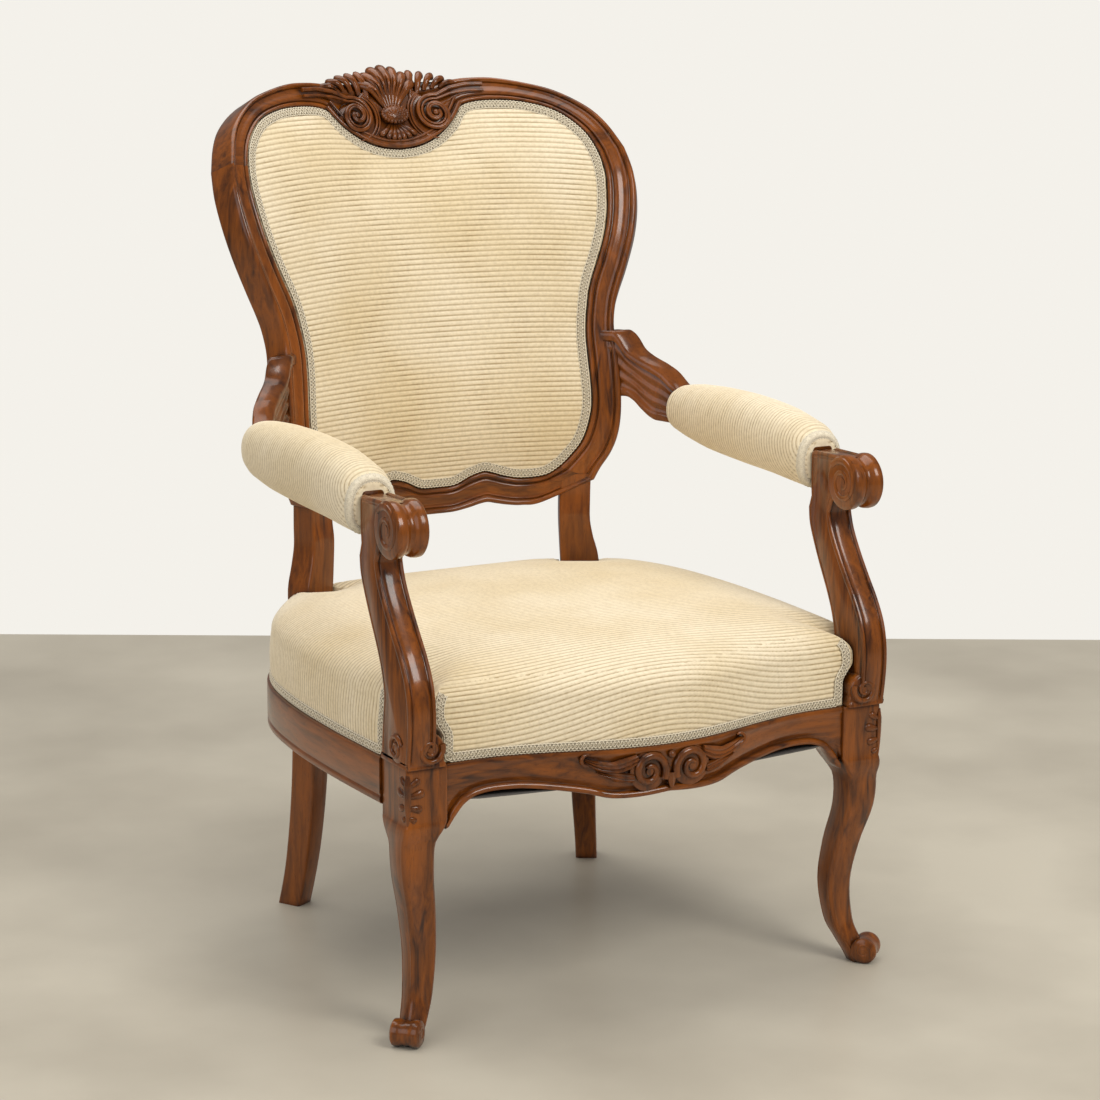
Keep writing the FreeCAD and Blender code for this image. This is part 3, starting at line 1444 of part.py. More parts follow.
def rear_block_ends():
    corner = rear_block_corner()
    slanted = Vector(S.rear_block_slant, -S.rear_block_reach, 0)
    return corner + Vector(-S.rear_block_leg, 0, 0), corner + slanted


def block_screw(corner, ends, index, share):
    """A screw through a block, square to one of its sides: the top of its head and its direction."""
    leg = ends[index] - corner
    other = ends[1 - index] - corner
    along = Vector(leg).normalize()
    outward = along * other.dot(along) - other
    height = outward.Length
    outward.normalize()
    depth = height * (1 - share) / (1 - other.dot(along) / leg.Length)
    head = corner + leg * share - outward * (depth - S.screw_head_height)
    return head + Vector(0, 0, S.block_height / 2), outward


def block_screw_places():
    places = []
    for corner, ends, shares in (
        (front_block_corner(), front_block_ends(), FRONT_SCREW_SHARES),
        (rear_block_corner(), rear_block_ends(), REAR_SCREW_SHARES),
    ):
        for index, share in enumerate(shares):
            places.append(block_screw(corner, ends, index, share))
    return places


def add_block(name, corner, turn, sizes, fitted):
    """A three sided block bound to the sheet, fitted to the wood round its corner."""
    wedge = doc.addObject("Part::Wedge", f"{name}_blank")
    zero = "0 * Sizes.block_height"
    leg, slant, reach = sizes
    bounds = {
        "Xmin": zero, "Ymin": zero, "Zmin": zero, "Z2min": zero,
        "Xmax": leg, "X2min": slant, "X2max": slant, "Ymax": reach,
        "Zmax": "Sizes.block_height", "Z2max": "Sizes.block_height",
    }
    for key, expression in bounds.items():
        wedge.setExpression(key, expression)
    wedge.Placement = Placement(corner, Rotation(Vector(0, 0, 1), turn))
    tool = doc.addObject("Part::Feature", f"{name}_fit")
    tool.Shape = fitted[0].fuse(fitted[1:])
    block = doc.addObject("Part::Cut", name)
    block.Label = name
    block.Base = wedge
    block.Tool = tool
    doc.recompute()
    nodes[name] = block
    return block


def build_blocks():
    holes = screw_holes(block_screw_places())
    wood = [nodes[name].Shape for name in ("front_rail", "side_rail_right", "rear_seat_rail")]
    legs = [leg_block(), stile_foot()]
    front = add_block(
        "corner_block_front_right", front_block_corner(), QUARTER_TURN,
        ("Sizes.block_leg", "0 * Sizes.block_leg", "Sizes.block_leg"), wood[:2] + legs + holes,
    )
    rear = add_block(
        "corner_block_rear_right", rear_block_corner(), 2 * QUARTER_TURN,
        ("Sizes.rear_block_leg", "-Sizes.rear_block_slant", "Sizes.rear_block_reach"),
        wood[1:] + legs + holes,
    )
    add_mirror("corner_block_front_left", front)
    add_mirror("corner_block_rear_left", rear)
    add_screws("corner_block_screws", mirrored_places(block_screw_places()))


def stile_foot():
    sections = [rear_leg_section(row) for row in refined(REAR_LEG_SHARES)]
    return loft(sections + [frame_section(STILE_SHARES[0], False)])


def build_pins():
    dowel_size = ("dowel_radius", "dowel_length")
    add_rods("frame_dowels", mirrored_places(crest_dowel_places() + bottom_dowel_places()), *dowel_size)
    add_rods("post_dowels", mirrored_places(post_dowel_places()), *dowel_size)
    add_rods("arm_dowels", mirrored_places(arm_dowel_places() + bracket_dowel_places()), *dowel_size)
    add_rods("tenon_pegs", mirrored_places(peg_places()), "peg_radius", "peg_length")


def build_frame():
    stile = rear_stile()
    leg = front_leg()
    pegs = pin_holes(peg_places(), S.peg_radius, S.peg_length)
    blocks = screw_holes(block_screw_places())
    rail_holes = both_sides(pegs + blocks)
    crest_dowels = dowel_holes(crest_dowel_places())
    bottom_dowels = dowel_holes(bottom_dowel_places())
    post_dowels = dowel_holes(post_dowel_places())
    arm_dowels = dowel_holes(arm_dowel_places())
    bracket_dowels = dowel_holes(bracket_dowel_places())
    add_feature("back_bottom_rail", back_bottom_rail().cut(both_sides(bottom_dowels)))
    add_feature("crest_rail", crest_rail().cut(both_sides(crest_dowels)))
    add_pair("arm", arm(stile).cut(bracket_dowels + arm_dowels))
    add_pair("arm_post", arm_post().cut(post_dowels + arm_dowels))
    add_feature("front_rail", front_rail(leg, mirror_shape(leg)).cut(rail_holes))
    add_feature("rear_seat_rail", rear_seat_rail(stile, mirror_shape(stile)).cut(rail_holes))
    add_pair("side_rail", side_rail(leg, stile).cut(pegs + blocks))
    stile_holes = stile_mortises() + pegs + crest_dowels + bottom_dowels + bracket_dowels
    add_pair("rear_stile", stile.cut(stile_holes))
    add_pair("front_leg", leg.cut(leg_mortises() + pegs + post_dowels))


def stile_mortises():
    clearance = S.joint_clearance
    root, heading = side_rear_root()
    rear_root = rear_tenon_root()
    rear_root.y = rear_rail_front() + S.rail_thickness * REAR_TENON_SHARE
    return [tenon(root, heading, clearance), tenon(rear_root, Vector(1, 0, 0), clearance)]


def leg_mortises():
    clearance = S.joint_clearance
    front = tenon(front_tenon_root(), Vector(1, 0, 0), clearance)
    return [front, tenon(side_front_root(), Vector(0, -1, 0), clearance)]


def build_seat():
    keep_out = stile_keep_out()
    cutters = seat_keep_outs(keep_out, mirror_shape(keep_out))
    names = ["front_rail", "rear_seat_rail"]
    for pair in ("side_rail", "front_leg", "rear_stile"):
        names += [f"{pair}_right", f"{pair}_left"]
    frame = [nodes[name].Shape for name in names]
    add_feature("seat_stuffing", seat_stuffing(cutters))
    add_feature("seat_cover", seat_cover(cutters))
    add_feature("seat_hessian", seat_hessian(cutters))
    add_feature("seat_webbing", seat_webbing(frame))
    add_feature("seat_springs", seat_springs())
    add_feature("dust_cover", dust_cover(frame))
    cushion = cushion_body(-S.soft_clearance)
    add_feature("seat_gimp_front", seat_gimp_front(cushion))
    add_pair("seat_gimp_side", single_solid(seat_gimp_side(cushion).cut(cutters)))


def build_back():
    add_feature("back_webbing", back_webbing())
    hessian = back_layer(hessian_depth(), S.hessian_thickness * SLACK_SHARE)
    add_feature("back_hessian", hessian)
    add_feature("back_stuffing", back_stuffing())
    add_feature("back_cover", back_cover())
    add_feature("outside_back_cover", outside_back_cover())
    add_feature("back_gimp", back_gimp())


def build_pads():
    keep_out = arm_keep_out()
    add_pair("arm_pad_stuffing", pad_stuffing(keep_out))
    add_pair("arm_pad_cover", pad_cover(keep_out))
    add_pair("arm_pad_gimp", pad_gimp(keep_out))


def check_document():
    """Stop before anything is written if an object failed."""
    doc.recompute()
    failed = [item.Label for item in doc.Objects if "Invalid" in item.State or "Error" in item.State]
    for name, node in nodes.items():
        if node.Shape.isNull() or not node.Shape.isValid():
            failed.append(name)
    if failed:
        raise RuntimeError(f"failed: {', '.join(failed)}")


def write_parts():
    for name, node in nodes.items():
        node.Shape.exportStep(f"parts/{name}.step")


def report_sizes():
    whole = Part.makeCompound([node.Shape for node in nodes.values()]).BoundBox
    print(f"{len(nodes)} nodes, {whole.XLength:.1f} x {whole.YLength:.1f} x {whole.ZLength:.1f} mm")
    print(f"middle x {whole.Center.x:.2f} y {whole.Center.y:.2f} low z {whole.ZMin:.2f}")


build_frame()
build_blocks()
build_pins()
build_seat()
build_back()
build_pads()
check_document()
write_parts()
report_sizes()
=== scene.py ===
"""The looks of a carved open armchair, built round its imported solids.

Lengths are metres in the frame of the solids: X across, Y to the back, Z up. Pieces of the right half
(positive X) are made first and mirrored to the left.
"""
import math

import bpy
import numpy as np
from mathutils import Matrix, Vector
from mathutils.geometry import delaunay_2d_cdt


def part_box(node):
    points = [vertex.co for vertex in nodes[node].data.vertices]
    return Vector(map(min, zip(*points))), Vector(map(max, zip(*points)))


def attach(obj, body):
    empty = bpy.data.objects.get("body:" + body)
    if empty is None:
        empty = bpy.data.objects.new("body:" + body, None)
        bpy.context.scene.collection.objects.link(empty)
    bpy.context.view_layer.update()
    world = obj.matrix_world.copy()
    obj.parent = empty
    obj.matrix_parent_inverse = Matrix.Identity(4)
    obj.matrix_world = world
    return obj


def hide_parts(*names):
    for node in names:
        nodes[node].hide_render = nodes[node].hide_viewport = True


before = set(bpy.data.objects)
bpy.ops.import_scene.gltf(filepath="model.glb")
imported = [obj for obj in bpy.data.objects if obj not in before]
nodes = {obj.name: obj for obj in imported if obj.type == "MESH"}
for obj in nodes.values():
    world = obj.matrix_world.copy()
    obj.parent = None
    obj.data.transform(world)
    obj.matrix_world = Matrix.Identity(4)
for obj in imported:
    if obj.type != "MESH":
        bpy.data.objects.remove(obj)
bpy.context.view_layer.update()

# Seat frame, the same as in the solids
RAIL_TOP = 0.325
FRONT_REACH = 0.3448
FRONT_BOW = 0.045
BOW_HALF = 0.230
RAIL_THICKNESS = 0.030
SIDE_RAIL_BOTTOM = 0.270
FRONT_RAIL_BOTTOM = 0.269
FRONT_RAIL_HEIGHT = 0.056
SEAT_HALF = 0.319
# Back frame and back legs
BACK_HALF = 0.2765
BACK_BOTTOM = 0.482
BACK_HEIGHT = 0.544
BACK_REACH = 0.2002
BACK_HOLLOW = 0.099
BACK_SWEEP = 0.156
BACK_BEND = 0.560
REAR_LEG_RAKE = 0.025
REAR_LEG_DEPTH = 0.035
REAR_LEG_WIDTH = 0.050
# Front legs
LEG_OUTER = 0.313
LEG_WIDTH = 0.051
LEG_DEPTH = 0.065
LEG_BLOCK_BOTTOM = 0.262
LEG_KNEE = 0.044
LEG_SWING = 0.012
TOE_RADIUS = 0.016
TOE_WIDTH = 0.034
TOE_REACH = 0.030
# Arm posts, arms and pads
POST_OUTER = 0.315
POST_WIDTH = 0.035
POST_HEIGHT = 0.295
POST_DEPTH = 0.067
POST_SETBACK = 0.077
POST_REACH = 0.3528
HEAD_SETBACK = 0.118
ROLL_RADIUS = 0.033
ROLL_SETBACK = 0.046
ARM_RUN = 0.390
ARM_REAR = 0.245
ARM_LEVEL = 0.590
ARM_RISE = 0.118
ARM_THICKNESS = 0.027
PAD_HALF_WIDTH = 0.036
PAD_HALF_HEIGHT = 0.045
PAD_LEVEL = 0.612
# Boss of the cartouche, and the eyes of the scrolls beside it
BOSS_LEVEL = 0.979
SCROLL_EYE = 0.057
# Ribs of the cloth, and braid
RIB_PITCH = 0.0063
RIB_RELIEF = 0.0013
GIMP_WIDTH = 0.011
BRAID_STEP = 0.0013
BRAID_PITCH = 0.0088
BRAID_CORD = 0.0012
# Cushion of the back, and the cloth on its rear
COVER_DEPTH = 0.0042
COVER_REAR = 0.0120
BACK_CROWN = 0.015
BACK_SWELL_REACH = 0.110
OUTSIDE_DEPTH = 0.0305
OUTSIDE_THICKNESS = 0.0018
# Cushion of the seat
SEAT_INSET = 0.006
SEAT_FOOT = 0.3254
SEAT_REAR = 0.2003
SEAT_CROWN = 0.1125
SEAT_BULGE = 0.0025
SEAT_DOME_REACH = 0.250
SHOULDER_LEVEL = 0.058
SHOULDER_INSET = 0.017
SHOULDER_STEP = 0.0010
GIMP_TOP_INSET = 0.0065
SIDE_END = 0.166
POST_NOTCH = (0.2645, -0.2855)
# Other cloth and wood
CUSHION_GAP = 0.0008
CUSHION_STEPS = 6
FLUTE_DEPTH = 0.0042
SHARP_ANGLE = 38
DUST_COLUMNS = 41
DUST_ROWS = 33
DUST_THICKNESS = 0.001
DUST_SAG = 0.002

# Camera at the photo's angle, in degrees, metres and millimetres of lens and sensor
CAMERA_AZIMUTH = -28.6
CAMERA_ELEVATION = 12.3
CAMERA_ROLL = 0.3
CAMERA_DISTANCE = 3.9104
CAMERA_TARGET = (0.0373, -0.035, 0.4773)
CAMERA_LENS = 104.7
CAMERA_SENSOR = 36
CAMERA_SHIFT = -0.0013

# Stage: the floor ends in a straight edge behind the chair; colours and strengths of the surroundings as
# they light the chair, as polish mirrors them and as the camera sees them
FLOOR_EDGE = 1.478
FLOOR_REACH = 15.0
WORLD_LIGHT = ((1.0, 0.97, 0.93), 0.55)
WORLD_POLISH = ((1.0, 0.97, 0.93), 0.22)
WORLD_SEEN = ((0.905, 0.880, 0.825), 1.0)
LAMP_AIM = (0, 0, 0.5)
# Name, place, size, power and colour of each lamp
LAMPS = (
    ("key", (0.7, -2.9, 2.8), 1.5, 60, (1.0, 0.97, 0.92)),
    ("fill", (-2.7, -1.5, 1.8), 2.2, 20, (0.98, 0.98, 1.0)),
    ("top", (0.0, 0.6, 3.2), 2.4, 42, (1.0, 0.99, 0.96)),
)

# Directions and places that follow from them
RIGHT = np.array((1.0, 0.0, 0.0))
FORWARD = np.array((0.0, -1.0, 0.0))
UP = np.array((0.0, 0.0, 1.0))
LEG_WAY = (RIGHT + FORWARD) / math.sqrt(2)
LEG_INNER = LEG_OUTER - LEG_WIDTH
LEG_FRONT = -(FRONT_REACH + POST_REACH) / 2
LEG_REAR = LEG_FRONT + LEG_DEPTH
LEG_CENTRE = np.array((LEG_OUTER - LEG_WIDTH / 2, LEG_FRONT + LEG_DEPTH / 2, 0.0))
BACK_TOP = BACK_BOTTOM + BACK_HEIGHT
POST_X = POST_OUTER - POST_WIDTH / 2
HEAD_REAR = HEAD_SETBACK - POST_REACH
POST_TOP = RAIL_TOP + POST_HEIGHT

# Outline of the back frame: x and height of the inner and the outer edge, as shares of the back
STILE_SHARES = (
    (0.575, 0.099, 0.723, 0.066),
    (0.626, 0.127, 0.748, 0.094),
    (0.673, 0.162, 0.788, 0.130),
    (0.703, 0.210, 0.816, 0.171),
    (0.716, 0.257, 0.831, 0.222),
    (0.714, 0.309, 0.835, 0.290),
    (0.709, 0.364, 0.832, 0.364),
    (0.710, 0.423, 0.825, 0.428),
    (0.730, 0.489, 0.838, 0.478),
    (0.756, 0.539, 0.861, 0.517),
    (0.810, 0.605, 0.904, 0.575),
    (0.854, 0.671, 0.955, 0.651),
    (0.882, 0.741, 0.987, 0.721),
    (0.891, 0.790, 1.000, 0.787),
    (0.882, 0.833, 0.988, 0.844),
)
CREST_SHARES = (
    (0.882, 0.833, 0.988, 0.844),
    (0.850, 0.875, 0.944, 0.897),
    (0.789, 0.910, 0.882, 0.936),
    (0.716, 0.932, 0.770, 0.971),
    (0.615, 0.945, 0.647, 0.989),
    (0.524, 0.949, 0.517, 1.000),
    (0.416, 0.947, 0.405, 1.000),
    (0.333, 0.934, 0.326, 0.996),
    (0.271, 0.897, 0.268, 0.993),
    (0.181, 0.864, 0.181, 0.993),
    (0.090, 0.847, 0.090, 0.993),
    (0.000, 0.842, 0.000, 0.993),
)
BOTTOM_SHARES = (
    (0.000, 0.064, 0.000, 0.000),
    (0.087, 0.066, 0.087, 0.001),
    (0.159, 0.083, 0.163, 0.008),
    (0.206, 0.091, 0.214, 0.015),
    (0.237, 0.094, 0.253, 0.018),
    (0.275, 0.089, 0.293, 0.014),
    (0.331, 0.080, 0.350, 0.009),
    (0.405, 0.074, 0.412, 0.007),
    (0.510, 0.079, 0.503, 0.013),
    (0.575, 0.092, 0.610, 0.022),
)
# Back leg: height, place of its outer front arris, width and depth as shares, and its turn in degrees
REAR_LEG_SHARES = (
    (0.000, 0.785, 0.56, 0.94, 30),
    (0.085, 0.766, 0.58, 0.94, 30),
    (0.170, 0.752, 0.62, 0.96, 30),
    (0.300, 0.736, 0.66, 0.98, 30),
    (0.430, 0.727, 0.70, 0.99, 30),
    (0.560, 0.723, 0.74, 1.00, 30),
    (0.675, 0.725, 0.80, 1.00, 30),
    (0.770, 0.738, 0.92, 1.02, 28),
    (0.853, 0.745, 1.00, 1.03, 27),
    (0.915, 0.722, 0.88, 1.03, 26),
    (0.965, 0.7075, 0.80, 1.03, 25),
    (1.018, 0.7075, 0.80, 1.03, 25),
    (1.090, 0.7100, 0.80, 1.00, 25),
)
# Arm post: height, setback of its front and its depth, as shares
POST_SHARES = (
    (0.000, 0.00, 1.00),
    (0.085, -0.05, 1.035),
    (0.170, -0.08, 1.03),
    (0.254, -0.06, 0.97),
    (0.339, 0.03, 0.96),
    (0.424, 0.22, 0.92),
    (0.508, 0.47, 0.85),
    (0.593, 0.71, 0.78),
    (0.678, 0.91, 0.72),
    (0.746, 1.00, 0.66),
)
# Arm: run, place to the side, low and high edge, and thickness, as shares
ARM_SHARES = (
    (0.000, 0.00, 0.00, 0.23, 1.00),
    (0.150, 0.00, 0.03, 0.26, 1.00),
    (0.300, 0.00, 0.06, 0.28, 1.00),
    (0.450, 0.00, 0.07, 0.29, 1.00),
    (0.600, 0.00, 0.07, 0.30, 1.00),
    (0.720, 0.00, 0.06, 0.34, 1.00),
    (0.780, 0.04, 0.05, 0.40, 1.02),
    (0.820, 0.13, 0.05, 0.48, 1.06),
    (0.855, 0.28, 0.06, 0.60, 1.12),
    (0.880, 0.44, 0.08, 0.67, 1.16),
    (0.905, 0.60, 0.17, 0.72, 1.20),
    (0.925, 0.74, 0.26, 0.77, 1.20),
    (0.945, 0.88, 0.31, 0.84, 1.20),
    (0.965, 1.00, 0.31, 0.96, 1.20),
    (0.980, 1.10, 0.30, 1.02, 1.20),
    (1.000, 1.23, 0.29, 1.02, 1.20),
    (1.016, 1.34, 0.29, 1.02, 1.20),
    (1.032, 1.44, 0.30, 1.01, 1.18),
)
# Arm pad: run, half width, half height and drop of its middle, as shares
PAD_SHARES = (
    (0.001, 0.84, 0.78, 0.32),
    (0.060, 0.94, 0.90, 0.20),
    (0.210, 1.00, 0.98, 0.06),
    (0.400, 1.03, 1.00, 0.00),
    (0.590, 1.02, 0.94, -0.02),
    (0.720, 0.95, 0.82, -0.05),
    (0.790, 0.84, 0.69, -0.08),
    (0.826, 0.62, 0.50, -0.10),
)
# Round end of a pad: share of its full section, and metres from its end
PAD_ROUND = (
    (0.50, 0.0), (0.68, 0.0), (0.74, 0.0003), (0.79, 0.0010), (0.84, 0.0019), (0.88, 0.0029), (0.915, 0.0041),
    (0.945, 0.0055), (0.970, 0.0070), (0.990, 0.0087),
)
# Side rail in plan: place to the side and run, as shares
SIDE_SHARES = (
    (0.985, -0.07),
    (0.995, 0.10),
    (1.000, 0.28),
    (0.990, 0.50),
    (0.953, 0.70),
    (0.890, 0.83),
    (0.803, 0.93),
    (0.715, 1.01),
)
# Lower edge of the front rail: place from the middle and rise, as shares
APRON_SHARES = (
    (0.00, 0.00),
    (0.15, -0.05),
    (0.27, -0.03),
    (0.38, 0.10),
    (0.53, 0.22),
    (0.67, 0.29),
    (0.82, 0.27),
    (0.90, 0.14),
    (0.95, -0.10),
    (0.99, -0.36),
)
# Fingers of the leaf on a leg's block: level of the foot, reach along the face, rise and half width
LEAF_FINGERS = (
    (0.306, 0.0130, 0.0080, 0.0052), (0.294, 0.0190, 0.0040, 0.0060), (0.281, 0.0160, -0.0030, 0.0054),
    (0.270, 0.0090, -0.0050, 0.0040),
)
# Front leg: height, swing to the outside and width, as shares
LEG_SHARES = (
    (1.00, 0.00, 1.13),
    (0.90, 0.85, 1.00),
    (0.75, 0.80, 0.93),
    (0.57, -0.30, 0.84),
    (0.38, -0.95, 0.75),
    (0.20, -0.45, 0.67),
    (0.11, 0.50, 0.61),
    (0.05, 1.20, 0.54),
    (0.00, 1.60, 0.45),
)
# Moulding of the back frame: place from the inner to the outer edge as a share of its width, and depth
# behind its face in metres, round the whole section; a place below zero is in metres, on the inner ledge
FRAME_PROFILE = (
    (0.00, 0.0125), (0.00, 0.0045), (0.02, 0.0022), (0.06, 0.0008), (0.10, 0.0004), (0.14, 0.0008),
    (0.18, 0.0022), (0.20, 0.0038), (0.22, 0.0040), (0.24, 0.0026), (0.29, 0.0014), (0.36, 0.0012),
    (0.44, 0.0020), (0.52, 0.0032), (0.60, 0.0040), (0.67, 0.0040), (0.73, 0.0032), (0.76, 0.0042),
    (0.78, 0.0043), (0.80, 0.0026), (0.84, 0.0010), (0.89, 0.0003), (0.94, 0.0008), (0.98, 0.0024),
    (1.00, 0.0050), (1.00, 0.0120), (1.00, 0.0310), (0.985, 0.0345), (0.94, 0.0360), (0.50, 0.0360),
    (0.06, 0.0360), (0.015, 0.0345), (0.00, 0.0310), (0.00, 0.0302), (-0.0115, 0.0300), (-0.0115, 0.0145),
    (0.00, 0.0143),
)
# Edge of the ground of the cartouche: degrees from straight up, and metres from the boss
CARTOUCHE_EDGE = (
    (0, 0.038), (40, 0.044), (62, 0.050), (80, 0.070), (90, 0.080), (97, 0.0745), (118, 0.0556),
    (146, 0.0420), (180, 0.0368),
)
# Lower rim of the cartouche, from its side to its foot
CREST_RIM = ((0.0940, 0.0150), (0.0765, -0.0060), (0.0505, -0.0240), (0.0250, -0.0335), (0.0, -0.0362))
# Degrees from straight up of the lobes of the shell, above its boss and below it
SHELL_TURNS = (-36, -24, -12, 0, 12, 24, 36)
LOWER_TURNS = (-50, -33, -16.5, 0, 16.5, 33, 50)
# Fingers of the leaves beside the shell: foot and tip, each across and up from the boss, and half width
CREST_FINGERS = (
    (0.030, 0.020, 0.040, 0.0530, 0.0070), (0.041, 0.027, 0.055, 0.0510, 0.0068),
    (0.052, 0.031, 0.070, 0.0490, 0.0062), (0.063, 0.033, 0.084, 0.0455, 0.0056),
    (0.074, 0.034, 0.097, 0.0405, 0.0050),
)


# Curves
def between(rows, place):
    """Rows of a table at a place counted in rows, on the smooth curve through them."""
    rows = np.asarray(rows, float)
    index = int(min(max(math.floor(place), 0), len(rows) - 2))
    part = place - index
    before, start = rows[max(index - 1, 0)], rows[index]
    end, after = rows[index + 1], rows[min(index + 2, len(rows) - 1)]
    first, last, rise = (end - before) / 2, (after - start) / 2, end - start
    return start + part * (first + part * ((3 * rise - 2 * first - last) + part * (first + last - 2 * rise)))


def refined(rows, steps):
    """A table with steps rows in place of each of its gaps."""
    count = (len(rows) - 1) * steps
    return np.array([between(rows, index / steps) for index in range(count + 1)])


def mirror_shares(rows):
    left = [(-a, b, -c, d) for a, b, c, d in reversed(rows) if a > 0]
    return left + list(rows)


def smooth_step(value):
    value = np.clip(value, 0.0, 1.0)
    return value * value * (3 - 2 * value)


def unit(vector):
    vector = np.asarray(vector, float)
    return vector / np.linalg.norm(vector)


def circle(centre, right, up, radius, count):
    """Points round a circle, from its right towards its upper end."""
    return [
        centre + radius * (right * math.cos(angle) + up * math.sin(angle))
        for angle in np.linspace(0, 2 * math.pi, count, endpoint=False)
    ]


# Meshes: a piece is a list of (points, faces) shells that are put together at the end
def grid_faces(rows, columns, start=0, closed=False):
    """Quads between rows of points; a closed row joins its end to its start."""
    faces = []
    for row in range(rows - 1):
        for column in range(columns if closed else columns - 1):
            after = (column + 1) % columns
            low, high = start + row * columns, start + (row + 1) * columns
            faces.append((low + column, low + after, high + after, high + column))
    return faces


def loft(rings):
    """Quads between closed rings of the same number of points, with flat ends."""
    count, total = len(rings[0]), len(rings[0]) * len(rings)
    points = np.concatenate([np.asarray(ring, float) for ring in rings])
    ends = [tuple(range(count - 1, -1, -1)), tuple(range(total - count, total))]
    return points, grid_faces(len(rings), count, 0, True) + ends


def mirrored(shell):
    points, faces = shell
    return points * (-1, 1, 1), [face[::-1] for face in faces]


def joined(shells):
    points, faces, total = [], [], 0
    for shell_points, shell_faces in shells:
        points.append(shell_points)
        faces += [tuple(total + index for index in face) for face in shell_faces]
        total += len(shell_points)
    return np.concatenate(points), faces


def volume_sign(points, faces):
    total = 0.0
    for size in {len(face) for face in faces}:
        chosen = np.array([face for face in faces if len(face) == size])
        for index in range(1, size - 1):
            first, second, third = (points[chosen[:, column]] for column in (0, index, index + 1))
            total += np.einsum("ij,ij->i", first, np.cross(second, third)).sum()
    return 1 if total > 0 else -1


def outward(shell):
    """The shell with its faces turned outwards."""
    points, faces = shell
    return shell if volume_sign(points, faces) > 0 else (points, [face[::-1] for face in faces])


def new_mesh(name, points, faces):
    mesh = bpy.data.meshes.new(name)
    mesh.from_pydata(points.tolist(), [], faces)
    mesh.shade_smooth()
    return mesh


def new_piece(name, mesh, material, stands_for):
    """An object of a mesh, riding on the part's only body."""
    mesh.materials.append(material)
    piece = bpy.data.objects.new(name, mesh)
    bpy.context.scene.collection.objects.link(piece)
    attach(piece, "root")
    if stands_for:
        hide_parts(*stands_for)
    return piece


def add_piece(name, shells, material, stands_for=(), sharp=SHARP_ANGLE):
    """One object from its shells."""
    mesh = new_mesh(name, *joined([outward(shell) for shell in shells]))
    if sharp:
        mesh.set_sharp_from_angle(angle=math.radians(sharp))
    return new_piece(name, mesh, material, stands_for)


def add_pair(name, shells, material, node=None, sharp=SHARP_ANGLE):
    """A right hand piece and its mirror image; each stands for the node of its side."""
    for side in ("right", "left"):
        parts = shells if side == "right" else [mirrored(shell) for shell in shells]
        add_piece(f"{name}_{side}", parts, material, [f"{node}_{side}"] if node else (), sharp)


# Carving
def tube(path, radii, out, flat=1.0, count=10):
    """A ridge along a path: its section is an ellipse, high along out."""
    path = np.asarray(path, float)
    out = unit(out)
    rings = []
    for index, place in enumerate(path):
        ahead = path[min(index + 1, len(path) - 1)] - path[max(index - 1, 0)]
        side = unit(np.cross(ahead, out))
        lift = unit(np.cross(side, ahead))
        rings.append(circle(place, side, lift * flat, radii[index], count))
    return loft(rings)


def dome(centre, radius, out, flat=0.6, rows=5, count=16):
    """A low round button on a face."""
    out = unit(out)
    right = unit(np.cross(out, (0.13, 0.31, 0.94)))
    up = np.cross(out, right)
    rings = []
    for row in range(rows + 1):
        angle = math.pi / 2 * row / rows - 0.25
        reach, height = max(radius * math.cos(angle), radius * 0.02), radius * flat * math.sin(angle)
        rings.append(circle(centre + out * height, right, up, reach, count))
    return loft(rings)


def spiral(centre, right, up, outer, turns=2.0, start=0.0, ridge=0.0032, hand=1, eye=0.30, flat=0.9):
    """A carved scroll on a face: a tapering ridge that winds in to a button."""
    out = np.cross(right, up)
    steps = int(turns * 26)
    path, radii = [], []
    inner = outer * eye
    for index in range(steps + 1):
        part = index / steps
        angle = start + hand * 2 * math.pi * turns * part
        reach = inner + (outer - inner) * (1 - part) ** 1.15
        path.append(centre + reach * (right * math.cos(angle) + up * math.sin(angle)))
        radii.append(ridge * (1 - 0.45 * part))
    return [tube(path, radii, out, flat), dome(centre, inner * 0.95, out, 0.75)]


def leaf(spine, widths, out, thick=0.004, veins=3, lobes=4, lobe_depth=0.18, columns=13):
    """A carved leaf along a spine: veins run along it, its edge is lobed and its middle is hollow."""
    spine = np.asarray(spine, float)
    out = unit(out)
    top, bottom = [], []
    for row, place in enumerate(spine):
        along = spine[min(row + 1, len(spine) - 1)] - spine[max(row - 1, 0)]
        side = unit(np.cross(along, out))
        lift = unit(np.cross(side, along))
        part = row / (len(spine) - 1)
        width = widths[row] * (1 - lobe_depth * abs(math.sin(math.pi * lobes * part)))
        line, under = [], []
        for column in range(columns):
            across = 2 * column / (columns - 1) - 1
            vein = 0.5 + 0.5 * math.cos(math.pi * (veins + 1) * across)
            height = thick * (0.25 + 0.75 * (1 - abs(across) ** 2.2)) * (0.62 + 0.38 * vein)
            line.append(place + side * across * width + lift * height)
            under.append(place + side * across * width * 0.9 - lift * thick * 0.6)
        top.append(line)
        bottom.append(under)
    rings = [upper + lower[::-1] for upper, lower in zip(top, bottom)]
    return loft(rings)


def taper(count, thick, start=0.35, end=0.15):
    """Widths that swell from one end and run out at the other."""
    widths = []
    for index in range(count):
        part = index / (count - 1)
        widths.append(thick * max(end, min(1.0, start + 2.4 * part), 0) * (1 - (1 - end) * part ** 3))
    return widths


def round_tip(part, start, least):
    """Share of a width that runs out in a round tip from a start on."""
    return math.sqrt(max(least, 1 - max(0.0, (part - start) / (1 - start)) ** 2))


